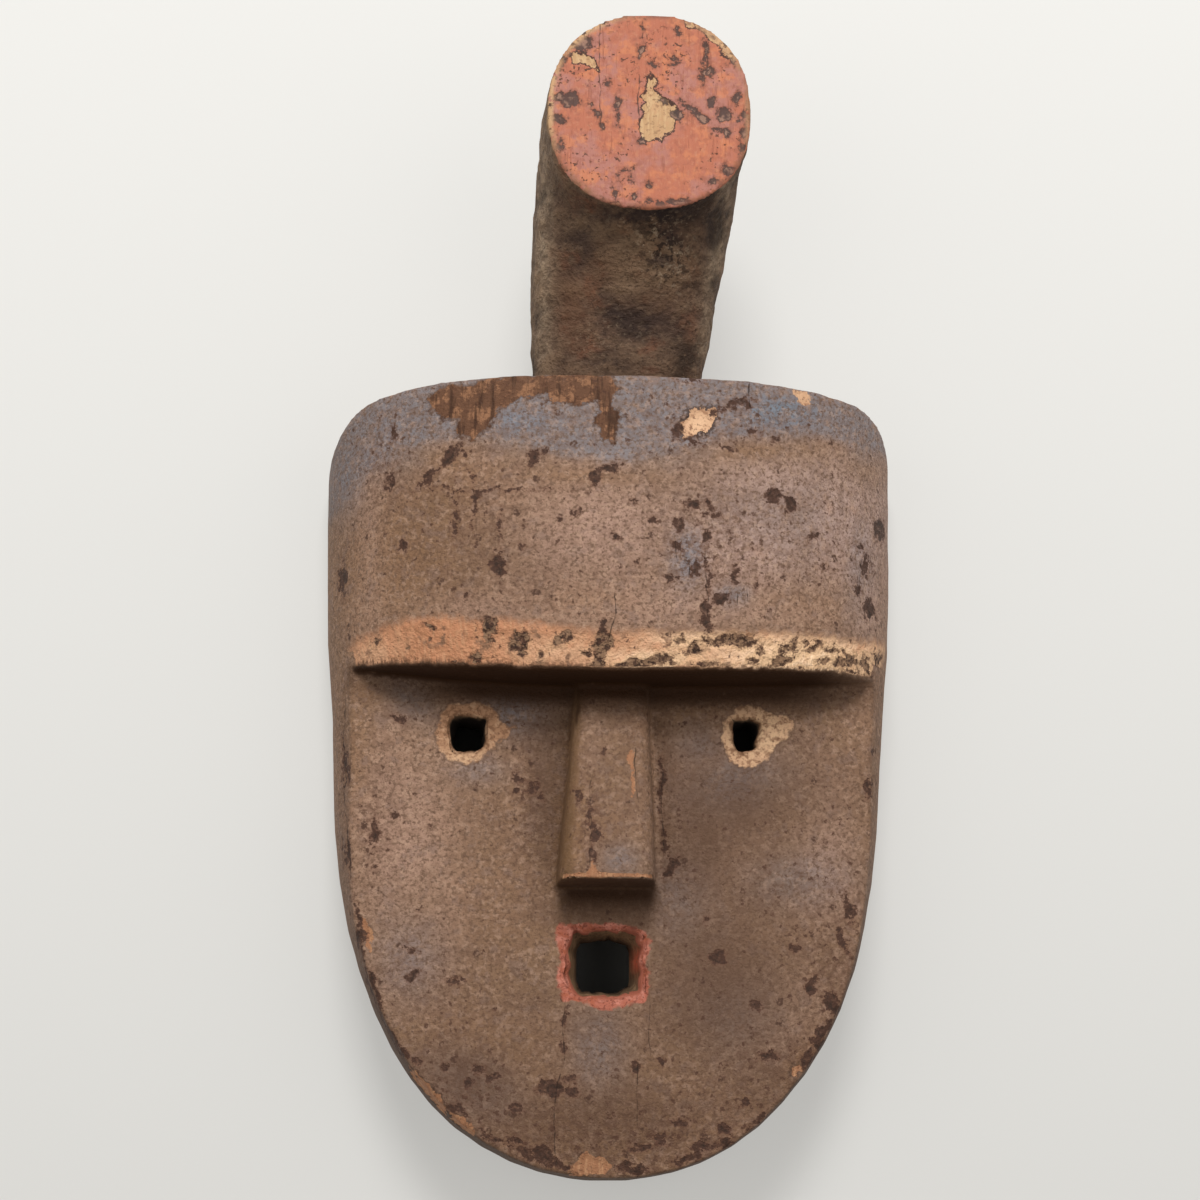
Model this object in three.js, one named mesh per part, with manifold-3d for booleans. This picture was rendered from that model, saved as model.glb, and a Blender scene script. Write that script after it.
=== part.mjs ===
import * as THREE from 'three';
import { mergeVertices } from 'three/addons/utils/BufferGeometryUtils.js';
import Module from 'manifold-3d';

// A ceremonial mask carved from one half log, lying on its hollowed back with the face up.
// Millimetres. X runs across the face, Y from the chin towards the post, Z out of the face.
// Lengths are measured from the chin and heights from the flat back rim, before the last
// step moves the middle of the whole length to Y = 0.

// Half log: it spreads a little behind the forehead, and its section squares up towards the chin
const FACE_HALF_WIDTH = 106.2;
const FOREHEAD_HALF_WIDTH = 110.3;
const SPREAD_START = 150;
const SPREAD_END = 215;
const SPREAD_PER_MM = 0.02;
const BODY_LENGTH = 294;
const LOG_HEIGHT = 85;
const TOP_EDGE_HEIGHT = 80.5;
const FOREHEAD_CREST = 225;
const FOREHEAD_SECTION = 2.55;
const CHIN_SECTION = 3.9;
const SQUARED_BY = 60;
const SQUARING_POWER = 1.7;
const RIGHT_SIDE_SQUARER = 0.25;
const SQUARER_FADE_START = 180;
const SQUARER_FADE_END = 240;

// Rounded lower outline
const CHIN_REACH = 185;
const CHIN_ACROSS = 2.2;
const CHIN_ALONG = 2.6;
const TIP_HALF_WIDTH = 6;
const CHIN_LEAN_X = -1.4;
const LEAN_START = 130;
const LEAN_END = 230;

// Flat top: it falls away a little towards its worn corners, later and further on the left
const TOP_ARCH_LEFT = 7.5;
const TOP_ARCH_LEFT_POWER = 4;
const TOP_ARCH_RIGHT = 4;
const TOP_ARCH_RIGHT_POWER = 2;
const TOP_CORNER = 21;

// Brow ledge and the flat of the face under it
const BROW_Y = 180.3;
const BROW_LIFT_LEFT = 8;
const BROW_LIFT_RIGHT = 4.2;
const BROW_LIFT_REACH = 100;
const BROW_BEVEL_LENGTH = 15;
const BROW_BEVEL_DROP = 5;
const BROW_OVERRUN = 4;
const FACE_HEIGHT = 52;
const FACE_SIDE_FALL = 9;
const FACE_SIDE_REACH = 102;
const FACE_SIDE_POWER = 2.5;
const CHIN_FALL = 4;
const CHIN_FALL_LENGTH = 45;

// Nose
const NOSE_LENGTH = 75;
const NOSE_TOP_WIDTH = 26.5;
const NOSE_BOTTOM_WIDTH = 34.8;
const NOSE_TOP_PROUD = 5.5;
const NOSE_BOTTOM_PROUD = 25;
const NOSE_FLARE = 1.5;
const NOSE_SECTION = 5;
const NOSE_TOP_X = -0.4;
const NOSE_BOTTOM_X = -2.8;
const NOSE_ROOT_DEPTH = 12;
const NOSE_RISE_POWER = 0.9;
const NOSE_INTO_BROW = 2;

// Eye holes and mouth hole: middle, size at the face, size where they reach the hollow
const EYES = [
  { x: -53.8, y: 162.5, width: 12.7, height: 14.4, backWidth: 10, backHeight: 11 },
  { x: 49.8, y: 162.5, width: 9.6, height: 12.6, backWidth: 8.5, backHeight: 10.5 },
];
const MOUTH = { x: -3.4, y: 77.2, width: 28, height: 24.8, backWidth: 19, backHeight: 18 };
const HOLE_SECTION = 6;

// Hollow back
const WALL = 16.5;
const HOLLOW_START = 17;
const HOLLOW_END = 272;
const HOLLOW_FACE_HEIGHT = 34;
const HOLLOW_FOREHEAD_HEIGHT = 64;
const HOLLOW_RAMP_START = 184;
const HOLLOW_RAMP_END = 230;
const HOLLOW_CHIN_SCOOP = 30;
const HOLLOW_TOP_SCOOP = 26;
const HOLLOW_END_SHARE = 0.62;

// Post: it leaves the flat top straight up and bends forward to a flat round end
const POST_BASE_FRONT_HEIGHT = 62;
const POST_BASE_DEPTH = 57;
const POST_END_HEIGHT = 98;
const POST_END_DEPTH = 79;
const POST_FRONT_RISE = 59;
const POST_BASE_HALF_WIDTH = 32;
const POST_END_HALF_WIDTH = 38.5;
const POST_BASE_X = 1.3;
const POST_LEAN_X = 10.9;
const POST_ROOT = 12;
const POST_FULL_WIDTH_SHARE = 0.7;
const POST_ROUND_CLIMB = 0.7;
const POST_BASE_SECTION = 3.2;
const POST_END_SECTION = 2.25;

const TOTAL_LENGTH = BODY_LENGTH + POST_FRONT_RISE + POST_END_DEPTH;

// How far a cut runs past the wood that it takes away
const CUT_OVERRUN = 20;
const SIDE_OVERRUN = 8;
const HOLE_OVERRUN = 12;
const BACK_OVERRUN = 6;

// Mesh fineness
const MERGE_DISTANCE = 1e-4;
const ARC_STEPS = 34;
const CHIN_STEPS = 15;
const CHIN_FALL_STEPS = 3;
const FACE_STEPS = 22;
const FOREHEAD_STATIONS = [249, 272];
const POST_STEPS = 11;
const POST_SIDES = 30;
const HOLE_SIDES = 16;
const NOSE_STEPS = 4;
const NOSE_SIDES = 20;
const HOLLOW_STEPS = 6;
const HOLLOW_STATION_GAP = 8;

const wasm = await Module();
wasm.setup();

// Signed power, the building block of every superellipse here
function power(value, exponent) {
  return Math.sign(value) * Math.abs(value) ** exponent;
}

function smooth(from, to, value) {
  const t = THREE.MathUtils.clamp((value - from) / (to - from), 0, 1);
  return t * t * (3 - 2 * t);
}

// Closed skin over a row of rings with equally many points, each ring convex
function loft(rings) {
  const count = rings[0].length;
  const positions = rings.flat().flatMap((point) => [point.x, point.y, point.z]);
  const indices = [];
  for (let i = 0; i < rings.length - 1; i += 1) {
    for (let j = 0; j < count; j += 1) {
      const a = i * count + j;
      const b = i * count + ((j + 1) % count);
      indices.push(a, b, b + count, a, b + count, a + count);
    }
  }
  const capRing = (ring, offset, flip) => {
    const middle = ring.reduce((sum, point) => sum.add(point), new THREE.Vector3());
    middle.divideScalar(count);
    const apex = positions.length / 3;
    positions.push(middle.x, middle.y, middle.z);
    for (let j = 0; j < count; j += 1) {
      const a = offset + j;
      const b = offset + ((j + 1) % count);
      indices.push(apex, flip ? b : a, flip ? a : b);
    }
  };
  capRing(rings[0], 0, true);
  capRing(rings[rings.length - 1], (rings.length - 1) * count, false);
  const geometry = new THREE.BufferGeometry();
  geometry.setAttribute('position', new THREE.Float32BufferAttribute(positions, 3));
  geometry.setIndex(indices);
  return geometry;
}

function toSolid(geometry) {
  const bare = geometry.clone();
  bare.deleteAttribute('normal');
  bare.deleteAttribute('uv');
  const merged = mergeVertices(bare, MERGE_DISTANCE);
  const mesh = new wasm.Mesh({
    numProp: 3,
    vertProperties: new Float32Array(merged.attributes.position.array),
    triVerts: new Uint32Array(merged.index.array),
  });
  return new wasm.Manifold(mesh);
}

function toGeometry(solid) {
  const mesh = solid.getMesh();
  const geometry = new THREE.BufferGeometry();
  geometry.setAttribute('position', new THREE.BufferAttribute(mesh.vertProperties, 3));
  geometry.setIndex(new THREE.BufferAttribute(mesh.triVerts, 1));
  geometry.computeVertexNormals();
  return geometry;
}

// Half width of the back rim at a length, with the log's spread and the rounded chin
function rimHalfWidth(y) {
  const spread = smooth(SPREAD_START, SPREAD_END, y) * (FOREHEAD_HALF_WIDTH - FACE_HALF_WIDTH);
  return FACE_HALF_WIDTH + spread + SPREAD_PER_MM * Math.max(0, y - SPREAD_END);
}

// Share of that width which the rounded lower outline leaves at a length from its tip
function chinShare(reach, y) {
  const rest = Math.max(0, 1 - y / reach);
  return (1 - rest ** CHIN_ALONG) ** (1 / CHIN_ACROSS);
}

// Stations along a rounded U outline, close together at its tip
function outlineStations(reach) {
  const stations = [];
  for (let i = 0; i <= CHIN_STEPS; i += 1) {
    const angle = (Math.PI / 2) * (i / CHIN_STEPS);
    stations.push(reach * (1 - Math.cos(angle) ** (2 / CHIN_ALONG)));
  }
  return stations;
}

// Arch-shaped ring across the log at one length, from the right rim over to the left one
function archRing(y, halfWidth, height, section, below) {
  const ring = [];
  const rightSquarer = RIGHT_SIDE_SQUARER * (1 - smooth(SQUARER_FADE_START, SQUARER_FADE_END, y));
  if (below > 0) {
    ring.push(new THREE.Vector3(-halfWidth, y, -below));
    ring.push(new THREE.Vector3(halfWidth, y, -below));
  }
  for (let i = 0; i <= ARC_STEPS; i += 1) {
    const angle = (Math.PI * i) / ARC_STEPS;
    const exponent = section + (2 * i < ARC_STEPS ? rightSquarer : 0);
    const x = halfWidth * power(Math.cos(angle), 2 / exponent);
    const z = height * power(Math.sin(angle), 2 / exponent);
    ring.push(new THREE.Vector3(x, y, i % ARC_STEPS === 0 ? 0 : z));
  }
  return ring.reverse();
}

// Sideways lean of the lower part of the mask
function chinLean(y) {
  return CHIN_LEAN_X * (1 - smooth(LEAN_START, LEAN_END, y));
}

// Rise of the brow line towards the sides
function browLift(x) {
  return (x < 0 ? BROW_LIFT_LEFT : BROW_LIFT_RIGHT) * (x / BROW_LIFT_REACH) ** 2;
}

function logHeight(y) {
  const past = Math.max(0, (y - FOREHEAD_CREST) / (BODY_LENGTH - FOREHEAD_CREST));
  const belowBevel = Math.max(0, BROW_Y + BROW_BEVEL_LENGTH - y) / BROW_BEVEL_LENGTH;
  const bevel = BROW_BEVEL_DROP * Math.min(belowBevel, 1 + BROW_OVERRUN / BROW_BEVEL_LENGTH);
  return LOG_HEIGHT - bevel - (LOG_HEIGHT - TOP_EDGE_HEIGHT) * past * past;
}

function logSection(y) {
  const towardsChin = THREE.MathUtils.clamp((BROW_Y - y) / (BROW_Y - SQUARED_BY), 0, 1);
  return THREE.MathUtils.lerp(FOREHEAD_SECTION, CHIN_SECTION, towardsChin ** SQUARING_POWER);
}

// The half log with its U outline and brow bevel, still without face, hollow or post
function makeLog() {
  const bevel = [BROW_Y - BROW_OVERRUN, BROW_Y + BROW_BEVEL_LENGTH];
  const lower = outlineStations(CHIN_REACH).filter((y) => y < bevel[0] - BROW_OVERRUN);
  const upper = [FOREHEAD_CREST, ...FOREHEAD_STATIONS, BODY_LENGTH + TOP_CORNER];
  const stations = [...lower, ...bevel, ...upper];
  const rings = stations.map((y) => {
    const halfWidth = Math.max(TIP_HALF_WIDTH, rimHalfWidth(y) * chinShare(CHIN_REACH, y));
    const ring = archRing(y, halfWidth, logHeight(Math.min(y, BODY_LENGTH)), logSection(y), 0);
    if (bevel.includes(y)) {
      ring.forEach((point) => point.setY(y + browLift(point.x)));
    }
    ring.forEach((point) => point.setX(point.x + chinLean(y)));
    return ring;
  });
  return toSolid(loft(rings));
}

// Length at which the flat top is cut, over the width of the log
function topCut(x) {
  const half = rimHalfWidth(BODY_LENGTH);
  const share = Math.abs(x) / half;
  const left = TOP_ARCH_LEFT * share ** TOP_ARCH_LEFT_POWER;
  const arch = x < 0 ? left : TOP_ARCH_RIGHT * share ** TOP_ARCH_RIGHT_POWER;
  const intoCorner = Math.max(0, Math.abs(x) - (half - TOP_CORNER));
  const corner = TOP_CORNER - Math.sqrt(Math.max(0, TOP_CORNER ** 2 - intoCorner ** 2));
  return BODY_LENGTH - arch - corner;
}

// Everything past a line across the log, as a slab through its whole height
function makeSlabPast(line, halfSpan) {
  const outline = new THREE.Shape();
  const far = BODY_LENGTH + 2 * CUT_OVERRUN;
  outline.moveTo(-halfSpan - CUT_OVERRUN, far);
  outline.lineTo(-halfSpan - CUT_OVERRUN, line(-halfSpan));
  for (let i = 0; i <= 2 * FACE_STEPS; i += 1) {
    const x = -halfSpan * Math.cos((Math.PI * i) / (2 * FACE_STEPS));
    outline.lineTo(x, line(x));
  }
  outline.lineTo(halfSpan + CUT_OVERRUN, line(halfSpan));
  outline.lineTo(halfSpan + CUT_OVERRUN, far);
  const depth = LOG_HEIGHT + 3 * CUT_OVERRUN;
  const slab = new THREE.ExtrudeGeometry(outline, { depth, bevelEnabled: false });
  slab.translate(0, 0, -CUT_OVERRUN);
  return toSolid(slab);
}

// Height of the face's flat, which falls a little towards the sides and the chin
function faceHeight(x, y) {
  const side = FACE_SIDE_FALL * (Math.abs(x) / FACE_SIDE_REACH) ** FACE_SIDE_POWER;
  const chin = Math.max(0, 1 - y / CHIN_FALL_LENGTH);
  return FACE_HEIGHT - side - CHIN_FALL * chin * chin;
}

// The wood taken away in front of the face, up to the square underside of the brow
function makeFaceCut() {
  const reach = FOREHEAD_HALF_WIDTH + SIDE_OVERRUN;
  const above = LOG_HEIGHT + CUT_OVERRUN;
  const rows = [-CUT_OVERRUN];
  for (let i = 0; i <= CHIN_FALL_STEPS; i += 1) {
    rows.push(CHIN_FALL_LENGTH * (i / CHIN_FALL_STEPS));
  }
  rows.push(BROW_Y + CUT_OVERRUN);
  const rings = rows.map((y) => {
    const ring = [new THREE.Vector3(reach, y, above), new THREE.Vector3(-reach, y, above)];
    for (let i = 0; i <= FACE_STEPS; i += 1) {
      const x = THREE.MathUtils.lerp(-reach, reach, i / FACE_STEPS);
      ring.push(new THREE.Vector3(x, y, faceHeight(x, Math.max(y, 0))));
    }
    return ring.reverse();
  });
  const brow = makeSlabPast((x) => BROW_Y + browLift(x), reach);
  return toSolid(loft(rings)).subtract(brow);
}

// Long nose hanging from the brow, shallow at its root and standing proud at its cut end
function makeNose() {
  const rings = [];
  for (let i = 0; i <= NOSE_STEPS; i += 1) {
    const share = i / NOSE_STEPS;
    const y = BROW_Y - NOSE_LENGTH * (1 - share) + (i === NOSE_STEPS ? NOSE_INTO_BROW : 0);
    const x = THREE.MathUtils.lerp(NOSE_BOTTOM_X, NOSE_TOP_X, share);
    const proud = THREE.MathUtils.lerp(NOSE_BOTTOM_PROUD, NOSE_TOP_PROUD, share ** NOSE_RISE_POWER);
    const width = THREE.MathUtils.lerp(NOSE_BOTTOM_WIDTH, NOSE_TOP_WIDTH, share);
    const half = (proud + NOSE_ROOT_DEPTH) / 2;
    const middle = FACE_HEIGHT - NOSE_ROOT_DEPTH + half;
    const ring = [];
    for (let j = 0; j < NOSE_SIDES; j += 1) {
      const angle = (2 * Math.PI * (j + 0.5)) / NOSE_SIDES;
      const lift = power(Math.sin(angle), 2 / NOSE_SECTION);
      const flare = (NOSE_FLARE * (1 - lift)) / 2;
      const reach = (width / 2 + flare) * power(Math.cos(angle), 2 / NOSE_SECTION);
      ring.push(new THREE.Vector3(x + reach, y, middle + half * lift));
    }
    rings.push(ring.reverse());
  }
  return toSolid(loft(rings));
}

// Square hole with softened corners that narrows from the face to the hollow
function makeHole({ x, y, width, height, backWidth, backHeight }) {
  const front = faceHeight(x, y);
  const slope = (width - backWidth) / (front - HOLLOW_FACE_HEIGHT);
  const levels = [
    { z: 0, width: backWidth, height: backHeight },
    { z: HOLLOW_FACE_HEIGHT, width: backWidth, height: backHeight },
    {
      z: front + HOLE_OVERRUN,
      width: width + slope * HOLE_OVERRUN,
      height: height + slope * HOLE_OVERRUN,
    },
  ];
  const rings = levels.map((level) => {
    const ring = [];
    for (let j = 0; j < HOLE_SIDES; j += 1) {
      const angle = (2 * Math.PI * (j + 0.5)) / HOLE_SIDES;
      const across = (level.width / 2) * power(Math.cos(angle), 2 / HOLE_SECTION);
      const along = (level.height / 2) * power(Math.sin(angle), 2 / HOLE_SECTION);
      ring.push(new THREE.Vector3(x + across, y + along, level.z));
    }
    return ring;
  });
  return toSolid(loft(rings));
}

// The scooped back: low behind the face, deep behind the forehead, rounded at both ends
function makeHollow() {
  const reach = CHIN_REACH - HOLLOW_START;
  const lowerEnd = HOLLOW_RAMP_START - HOLLOW_STATION_GAP;
  const stations = outlineStations(reach).map((y) => HOLLOW_START + y).filter((y) => y < lowerEnd);
  for (let i = 0; i <= HOLLOW_STEPS; i += 1) {
    stations.push(THREE.MathUtils.lerp(HOLLOW_RAMP_START, HOLLOW_RAMP_END, i / HOLLOW_STEPS));
  }
  for (let i = 0; i <= HOLLOW_STEPS; i += 1) {
    const share = Math.sin((Math.PI / 2) * (i / HOLLOW_STEPS));
    stations.push(HOLLOW_END - HOLLOW_TOP_SCOOP * (1 - share));
  }
  const rings = stations.map((y) => {
    const intoTop = Math.max(0, 1 - (HOLLOW_END - y) / HOLLOW_TOP_SCOOP);
    const intoChin = Math.max(0, 1 - (y - HOLLOW_START) / HOLLOW_CHIN_SCOOP);
    const narrowing = 1 - (1 - HOLLOW_END_SHARE) * (1 - Math.sqrt(1 - intoTop ** 2));
    const topEnd = Math.sqrt(1 - intoTop ** 2 * (1 - HOLLOW_END_SHARE ** 2));
    const chinEnd = Math.sqrt(1 - intoChin ** 2 * (1 - HOLLOW_END_SHARE ** 2));
    const ramp = smooth(HOLLOW_RAMP_START, HOLLOW_RAMP_END, y);
    const height = THREE.MathUtils.lerp(HOLLOW_FACE_HEIGHT, HOLLOW_FOREHEAD_HEIGHT, ramp);
    const share = Math.max(TIP_HALF_WIDTH / FACE_HALF_WIDTH, chinShare(reach, y - HOLLOW_START));
    const halfWidth = (rimHalfWidth(y) - WALL) * share * narrowing;
    return archRing(y, halfWidth, height * topEnd * chinEnd, FOREHEAD_SECTION, BACK_OVERRUN);
  });
  return toSolid(loft(rings));
}

// Thick post on the flat top, widening and bending forward through a quarter turn
function makePost() {
  const rings = [];
  for (let i = -1; i <= POST_STEPS; i += 1) {
    const share = Math.max(0, i / POST_STEPS);
    const turn = (Math.PI / 2) * share;
    const depth = THREE.MathUtils.lerp(POST_BASE_DEPTH, POST_END_DEPTH, share);
    const widen = Math.sin((Math.PI / 2) * Math.min(1, share / POST_FULL_WIDTH_SHARE));
    const halfWidth = THREE.MathUtils.lerp(POST_BASE_HALF_WIDTH, POST_END_HALF_WIDTH, widen);
    const exponent = THREE.MathUtils.lerp(POST_BASE_SECTION, POST_END_SECTION, share);
    const frontY = BODY_LENGTH + POST_FRONT_RISE * Math.sin(turn) - (i < 0 ? POST_ROOT : 0);
    const climb = THREE.MathUtils.lerp(share, 1 - Math.cos(turn), POST_ROUND_CLIMB);
    const frontZ = THREE.MathUtils.lerp(POST_BASE_FRONT_HEIGHT, POST_END_HEIGHT, climb);
    const ring = [];
    for (let j = 0; j < POST_SIDES; j += 1) {
      const angle = (2 * Math.PI * (j + 0.5)) / POST_SIDES;
      const across = halfWidth * power(Math.cos(angle), 2 / exponent);
      const back = (depth / 2) * (1 + power(Math.sin(angle), 2 / exponent));
      const x = POST_BASE_X + POST_LEAN_X * share + across;
      ring.push(new THREE.Vector3(x, frontY + back * Math.sin(turn), frontZ - back * Math.cos(turn)));
    }
    rings.push(ring);
  }
  return toSolid(loft(rings));
}

function makeMask() {
  const topTrim = makeSlabPast(topCut, rimHalfWidth(BODY_LENGTH));
  let mask = makeLog().subtract(topTrim).subtract(makeFaceCut());
  mask = mask.add(makePost()).subtract(makeHollow()).add(makeNose());
  for (const hole of [...EYES, MOUTH]) {
    mask = mask.subtract(makeHole(hole));
  }
  return toGeometry(mask);
}

const wornPaint = new THREE.MeshStandardMaterial({ color: 0x8a6a56, roughness: 0.85, metalness: 0 });

const mask = new THREE.Mesh(makeMask(), wornPaint);
mask.name = 'carved_mask';
mask.position.y = -TOTAL_LENGTH / 2;

const group = new THREE.Group();
group.name = 'ceremonial_mask';
group.add(mask);

export default group;
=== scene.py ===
import math
from functools import reduce
from itertools import product

import bmesh
import bpy
import numpy as np
from mathutils import Matrix, Vector
from mathutils.bvhtree import BVHTree


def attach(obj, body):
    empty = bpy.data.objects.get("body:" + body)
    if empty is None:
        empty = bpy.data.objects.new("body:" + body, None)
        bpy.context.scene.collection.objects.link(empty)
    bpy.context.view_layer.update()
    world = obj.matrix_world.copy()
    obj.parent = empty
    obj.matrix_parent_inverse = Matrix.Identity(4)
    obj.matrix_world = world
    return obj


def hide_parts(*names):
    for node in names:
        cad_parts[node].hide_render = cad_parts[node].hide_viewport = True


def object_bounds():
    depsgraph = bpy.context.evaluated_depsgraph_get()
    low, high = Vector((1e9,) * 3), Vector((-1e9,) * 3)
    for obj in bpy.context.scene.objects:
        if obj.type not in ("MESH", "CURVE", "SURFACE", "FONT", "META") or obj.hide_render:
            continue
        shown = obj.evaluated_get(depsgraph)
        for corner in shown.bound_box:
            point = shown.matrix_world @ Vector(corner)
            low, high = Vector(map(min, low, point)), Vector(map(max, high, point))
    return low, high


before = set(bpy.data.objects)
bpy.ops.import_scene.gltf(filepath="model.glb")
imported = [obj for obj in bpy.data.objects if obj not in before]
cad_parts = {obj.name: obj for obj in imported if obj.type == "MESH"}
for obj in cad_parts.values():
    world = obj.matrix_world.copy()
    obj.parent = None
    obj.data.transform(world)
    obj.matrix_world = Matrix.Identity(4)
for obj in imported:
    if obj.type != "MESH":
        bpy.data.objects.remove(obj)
cad_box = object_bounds()
scene = bpy.context.scene

# Camera. The mask lies on its back and the photographer stood over it, a little towards the
# chin and a touch to its left, with an 80 mm lens on a 36 mm sensor one metre away.
PER_METRE = 1000
PHOTO_SIDE = 1200
LENS_MM = 80
SENSOR_MM = 36
CAMERA_AIM = Vector((-0.0052, -0.004, 0.060))
CAMERA_DISTANCE = 1.0
CAMERA_PITCH = math.radians(13)
CAMERA_YAW = math.radians(2)

backward = Vector((-math.sin(CAMERA_YAW) * math.cos(CAMERA_PITCH),
                   -math.sin(CAMERA_PITCH),
                   math.cos(CAMERA_YAW) * math.cos(CAMERA_PITCH)))
rightward = Vector((0, 1, 0)).cross(backward).normalized()
upward = backward.cross(rightward)
eye_point = CAMERA_AIM + backward * CAMERA_DISTANCE

lens = bpy.data.cameras.new("photo_camera")
lens.lens = LENS_MM
lens.sensor_width = SENSOR_MM
camera = bpy.data.objects.new("photo_camera", lens)
camera.matrix_world = Matrix.Translation(eye_point) @ Matrix(
    (rightward, upward, backward)).transposed().to_4x4()
scene.collection.objects.link(camera)
scene.camera = camera


def photo_places(points):
    """Where points given in millimetres stand in the photograph, in its pixels."""
    away = points / PER_METRE - np.array(eye_point)
    depth = -away @ np.array(backward)
    focal = PHOTO_SIDE * LENS_MM / SENSOR_MM
    across = PHOTO_SIDE / 2 + focal * (away @ np.array(rightward)) / depth
    down = PHOTO_SIDE / 2 - focal * (away @ np.array(upward)) / depth
    return np.stack([across, down], 1)


# Carved block. The whole mask is one half log of light hardwood: rounded outside, hollowed
# from the back with a gouge, and left on its side walls and post as the adze shaped it. The
# solid is re-meshed evenly, so the tool marks, worn edges and chips can be cut into it.
WELD_WITHIN = 1e-6
MESH_STEP = 0.00115
PROBE_LIFT = 0.0006
EDGE_ROUNDING = 1
FACE_MIDDLE_Z = 52.0
FACE_SIDE_FALL, FACE_SIDE_REACH, FACE_SIDE_POWER = 9.0, 102.0, 2.5
BROW_Y, BROW_CLEAR = -35.7, 3.0
BROW_LIFT_LEFT, BROW_LIFT_RIGHT, BROW_LIFT_REACH = 8.0, 4.2, 100.0
TOP_CUT_Y = 78.0
POST_START_Y = TOP_CUT_Y + 1.4
POST_END_Z, END_SKIN = 98.0, 1.0
HOLLOW_TOP_Z, HOLLOW_END_Y = 70.0, TOP_CUT_Y - 2
FACES_BACK = -0.6
NOSE_TOP_Y, NOSE_END_Y, NOSE_X = -36.0, -110.7, -1.6
NOSE_HALF_TOP, NOSE_SPREAD = 13.5, 0.055
EYES = [(-53.8, -53.5, 12.7, 14.4), (49.8, -53.5, 9.6, 12.6)]
MOUTH = (-3.4, -138.8, 28.0, 24.8)
HOLE_LIP, HOLE_WALL = 1.6, 1.2
CURVATURE_FULL, CONVEX_ROUNDS = 0.16, 3
WIDE_ROUNDS, WIDE_GAIN, EDGE_MOST = 10, 2.2, 1.5

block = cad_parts["carved_mask"].data.copy()
welded = bmesh.new()
welded.from_mesh(block)
bmesh.ops.remove_doubles(welded, verts=welded.verts, dist=WELD_WITHIN)
shell = BVHTree.FromBMesh(welded)
welded.to_mesh(block)
welded.free()
mask = bpy.data.objects.new("carved_wooden_mask", block)
scene.collection.objects.link(mask)
even = mask.modifiers.new("even_faces", "REMESH")
even.mode = "VOXEL"
even.voxel_size = MESH_STEP
even.use_smooth_shade = True


def freeze(piece):
    """Turns a piece's modifiers into plain mesh."""
    made = bpy.data.meshes.new_from_object(
        piece.evaluated_get(bpy.context.evaluated_depsgraph_get()))
    piece.modifiers.clear()
    piece.data = made
    return made


def read(items, name, width=1, kind=np.int32):
    """One property of all of a mesh's vertices, edges or faces, in rows of `width`."""
    flat = np.zeros(len(items) * width, kind)
    items.foreach_get(name, flat)
    return flat.reshape(-1, width) if width > 1 else flat


carved = freeze(mask)
count = len(carved.vertices)
first, second = read(carved.edges, "vertices", 2).T
neighbours = np.bincount(first, minlength=count) + np.bincount(second, minlength=count)


def neighbour_mean(values):
    """The mean of each vertex's neighbours."""
    total = (np.bincount(first, values[second], count)
             + np.bincount(second, values[first], count))
    return total / neighbours


def spread(values, rounds):
    """Evens values out over the surface, a little further with each round."""
    for _ in range(rounds):
        values = (values + neighbour_mean(values)) / 2
    return values


def put_back(moved):
    """Moves the carved mesh's vertices to places given in millimetres."""
    carved.vertices.foreach_set("co", (moved / PER_METRE).astype(np.float32).ravel())
    carved.update()


def lumps(points, size, seed):
    """Smooth random values from -1 to 1 in bumps about `size` millimetres across."""
    side, shift = 48, 500
    lattice = np.random.default_rng(seed).uniform(-1, 1, (side, side, side))
    cells = points / size + shift
    corner = np.floor(cells).astype(int)
    share = cells - corner
    share = share * share * (3 - 2 * share)
    total = np.zeros(len(points))
    for step in product((0, 1), repeat=3):
        x, y, z = ((corner + step) % side).T
        total += np.abs(1 - np.array(step) - share).prod(1) * lattice[x, y, z]
    return total


def gouge_cuts(points, seed):
    """How far from the middle of its scoop each point is, 0 in the middle and about 1 between."""
    side, shift, nearer, farther = 32, 320, 0.15, 0.85
    middles = np.random.default_rng(seed).uniform(nearer, farther, (side, side, side, 3))
    cells = points + shift
    corner = np.floor(cells).astype(int)
    nearest = np.full(len(points), np.inf)
    for step in product((-1, 0, 1), repeat=3):
        cell = corner + step
        x, y, z = (cell % side).T
        nearest = np.minimum(nearest, ((cells - (cell + middles[x, y, z])) ** 2).sum(1))
    return nearest


def beyond_hole(points, hole):
    """Distance in millimetres from the edge of a square hole (middle, width, height)."""
    x, y, width, height = hole
    past_x = np.abs(points[:, 0] - x) - width / 2
    past_y = np.abs(points[:, 1] - y) - height / 2
    corner = np.hypot(np.maximum(past_x, 0), np.maximum(past_y, 0))
    return corner + np.minimum(np.maximum(past_x, past_y), 0)


places = read(carved.vertices, "co", 3, np.float32).astype(float) * PER_METRE
for axis in range(3):
    places[:, axis] = spread(places[:, axis], EDGE_ROUNDING)
put_back(places)
normals = read(carved.vertex_normals, "vector", 3, np.float32).astype(float)
x, y, z = places.T
facing_out = normals @ np.array(backward)
facing_right, facing_head, facing_up = normals.T
brow_lift = np.where(x < 0, BROW_LIFT_LEFT, BROW_LIFT_RIGHT)
brow_y = BROW_Y + brow_lift * (x / BROW_LIFT_REACH) ** 2
face_z = FACE_MIDDLE_Z - FACE_SIDE_FALL * (np.abs(x) / FACE_SIDE_REACH) ** FACE_SIDE_POWER

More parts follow.
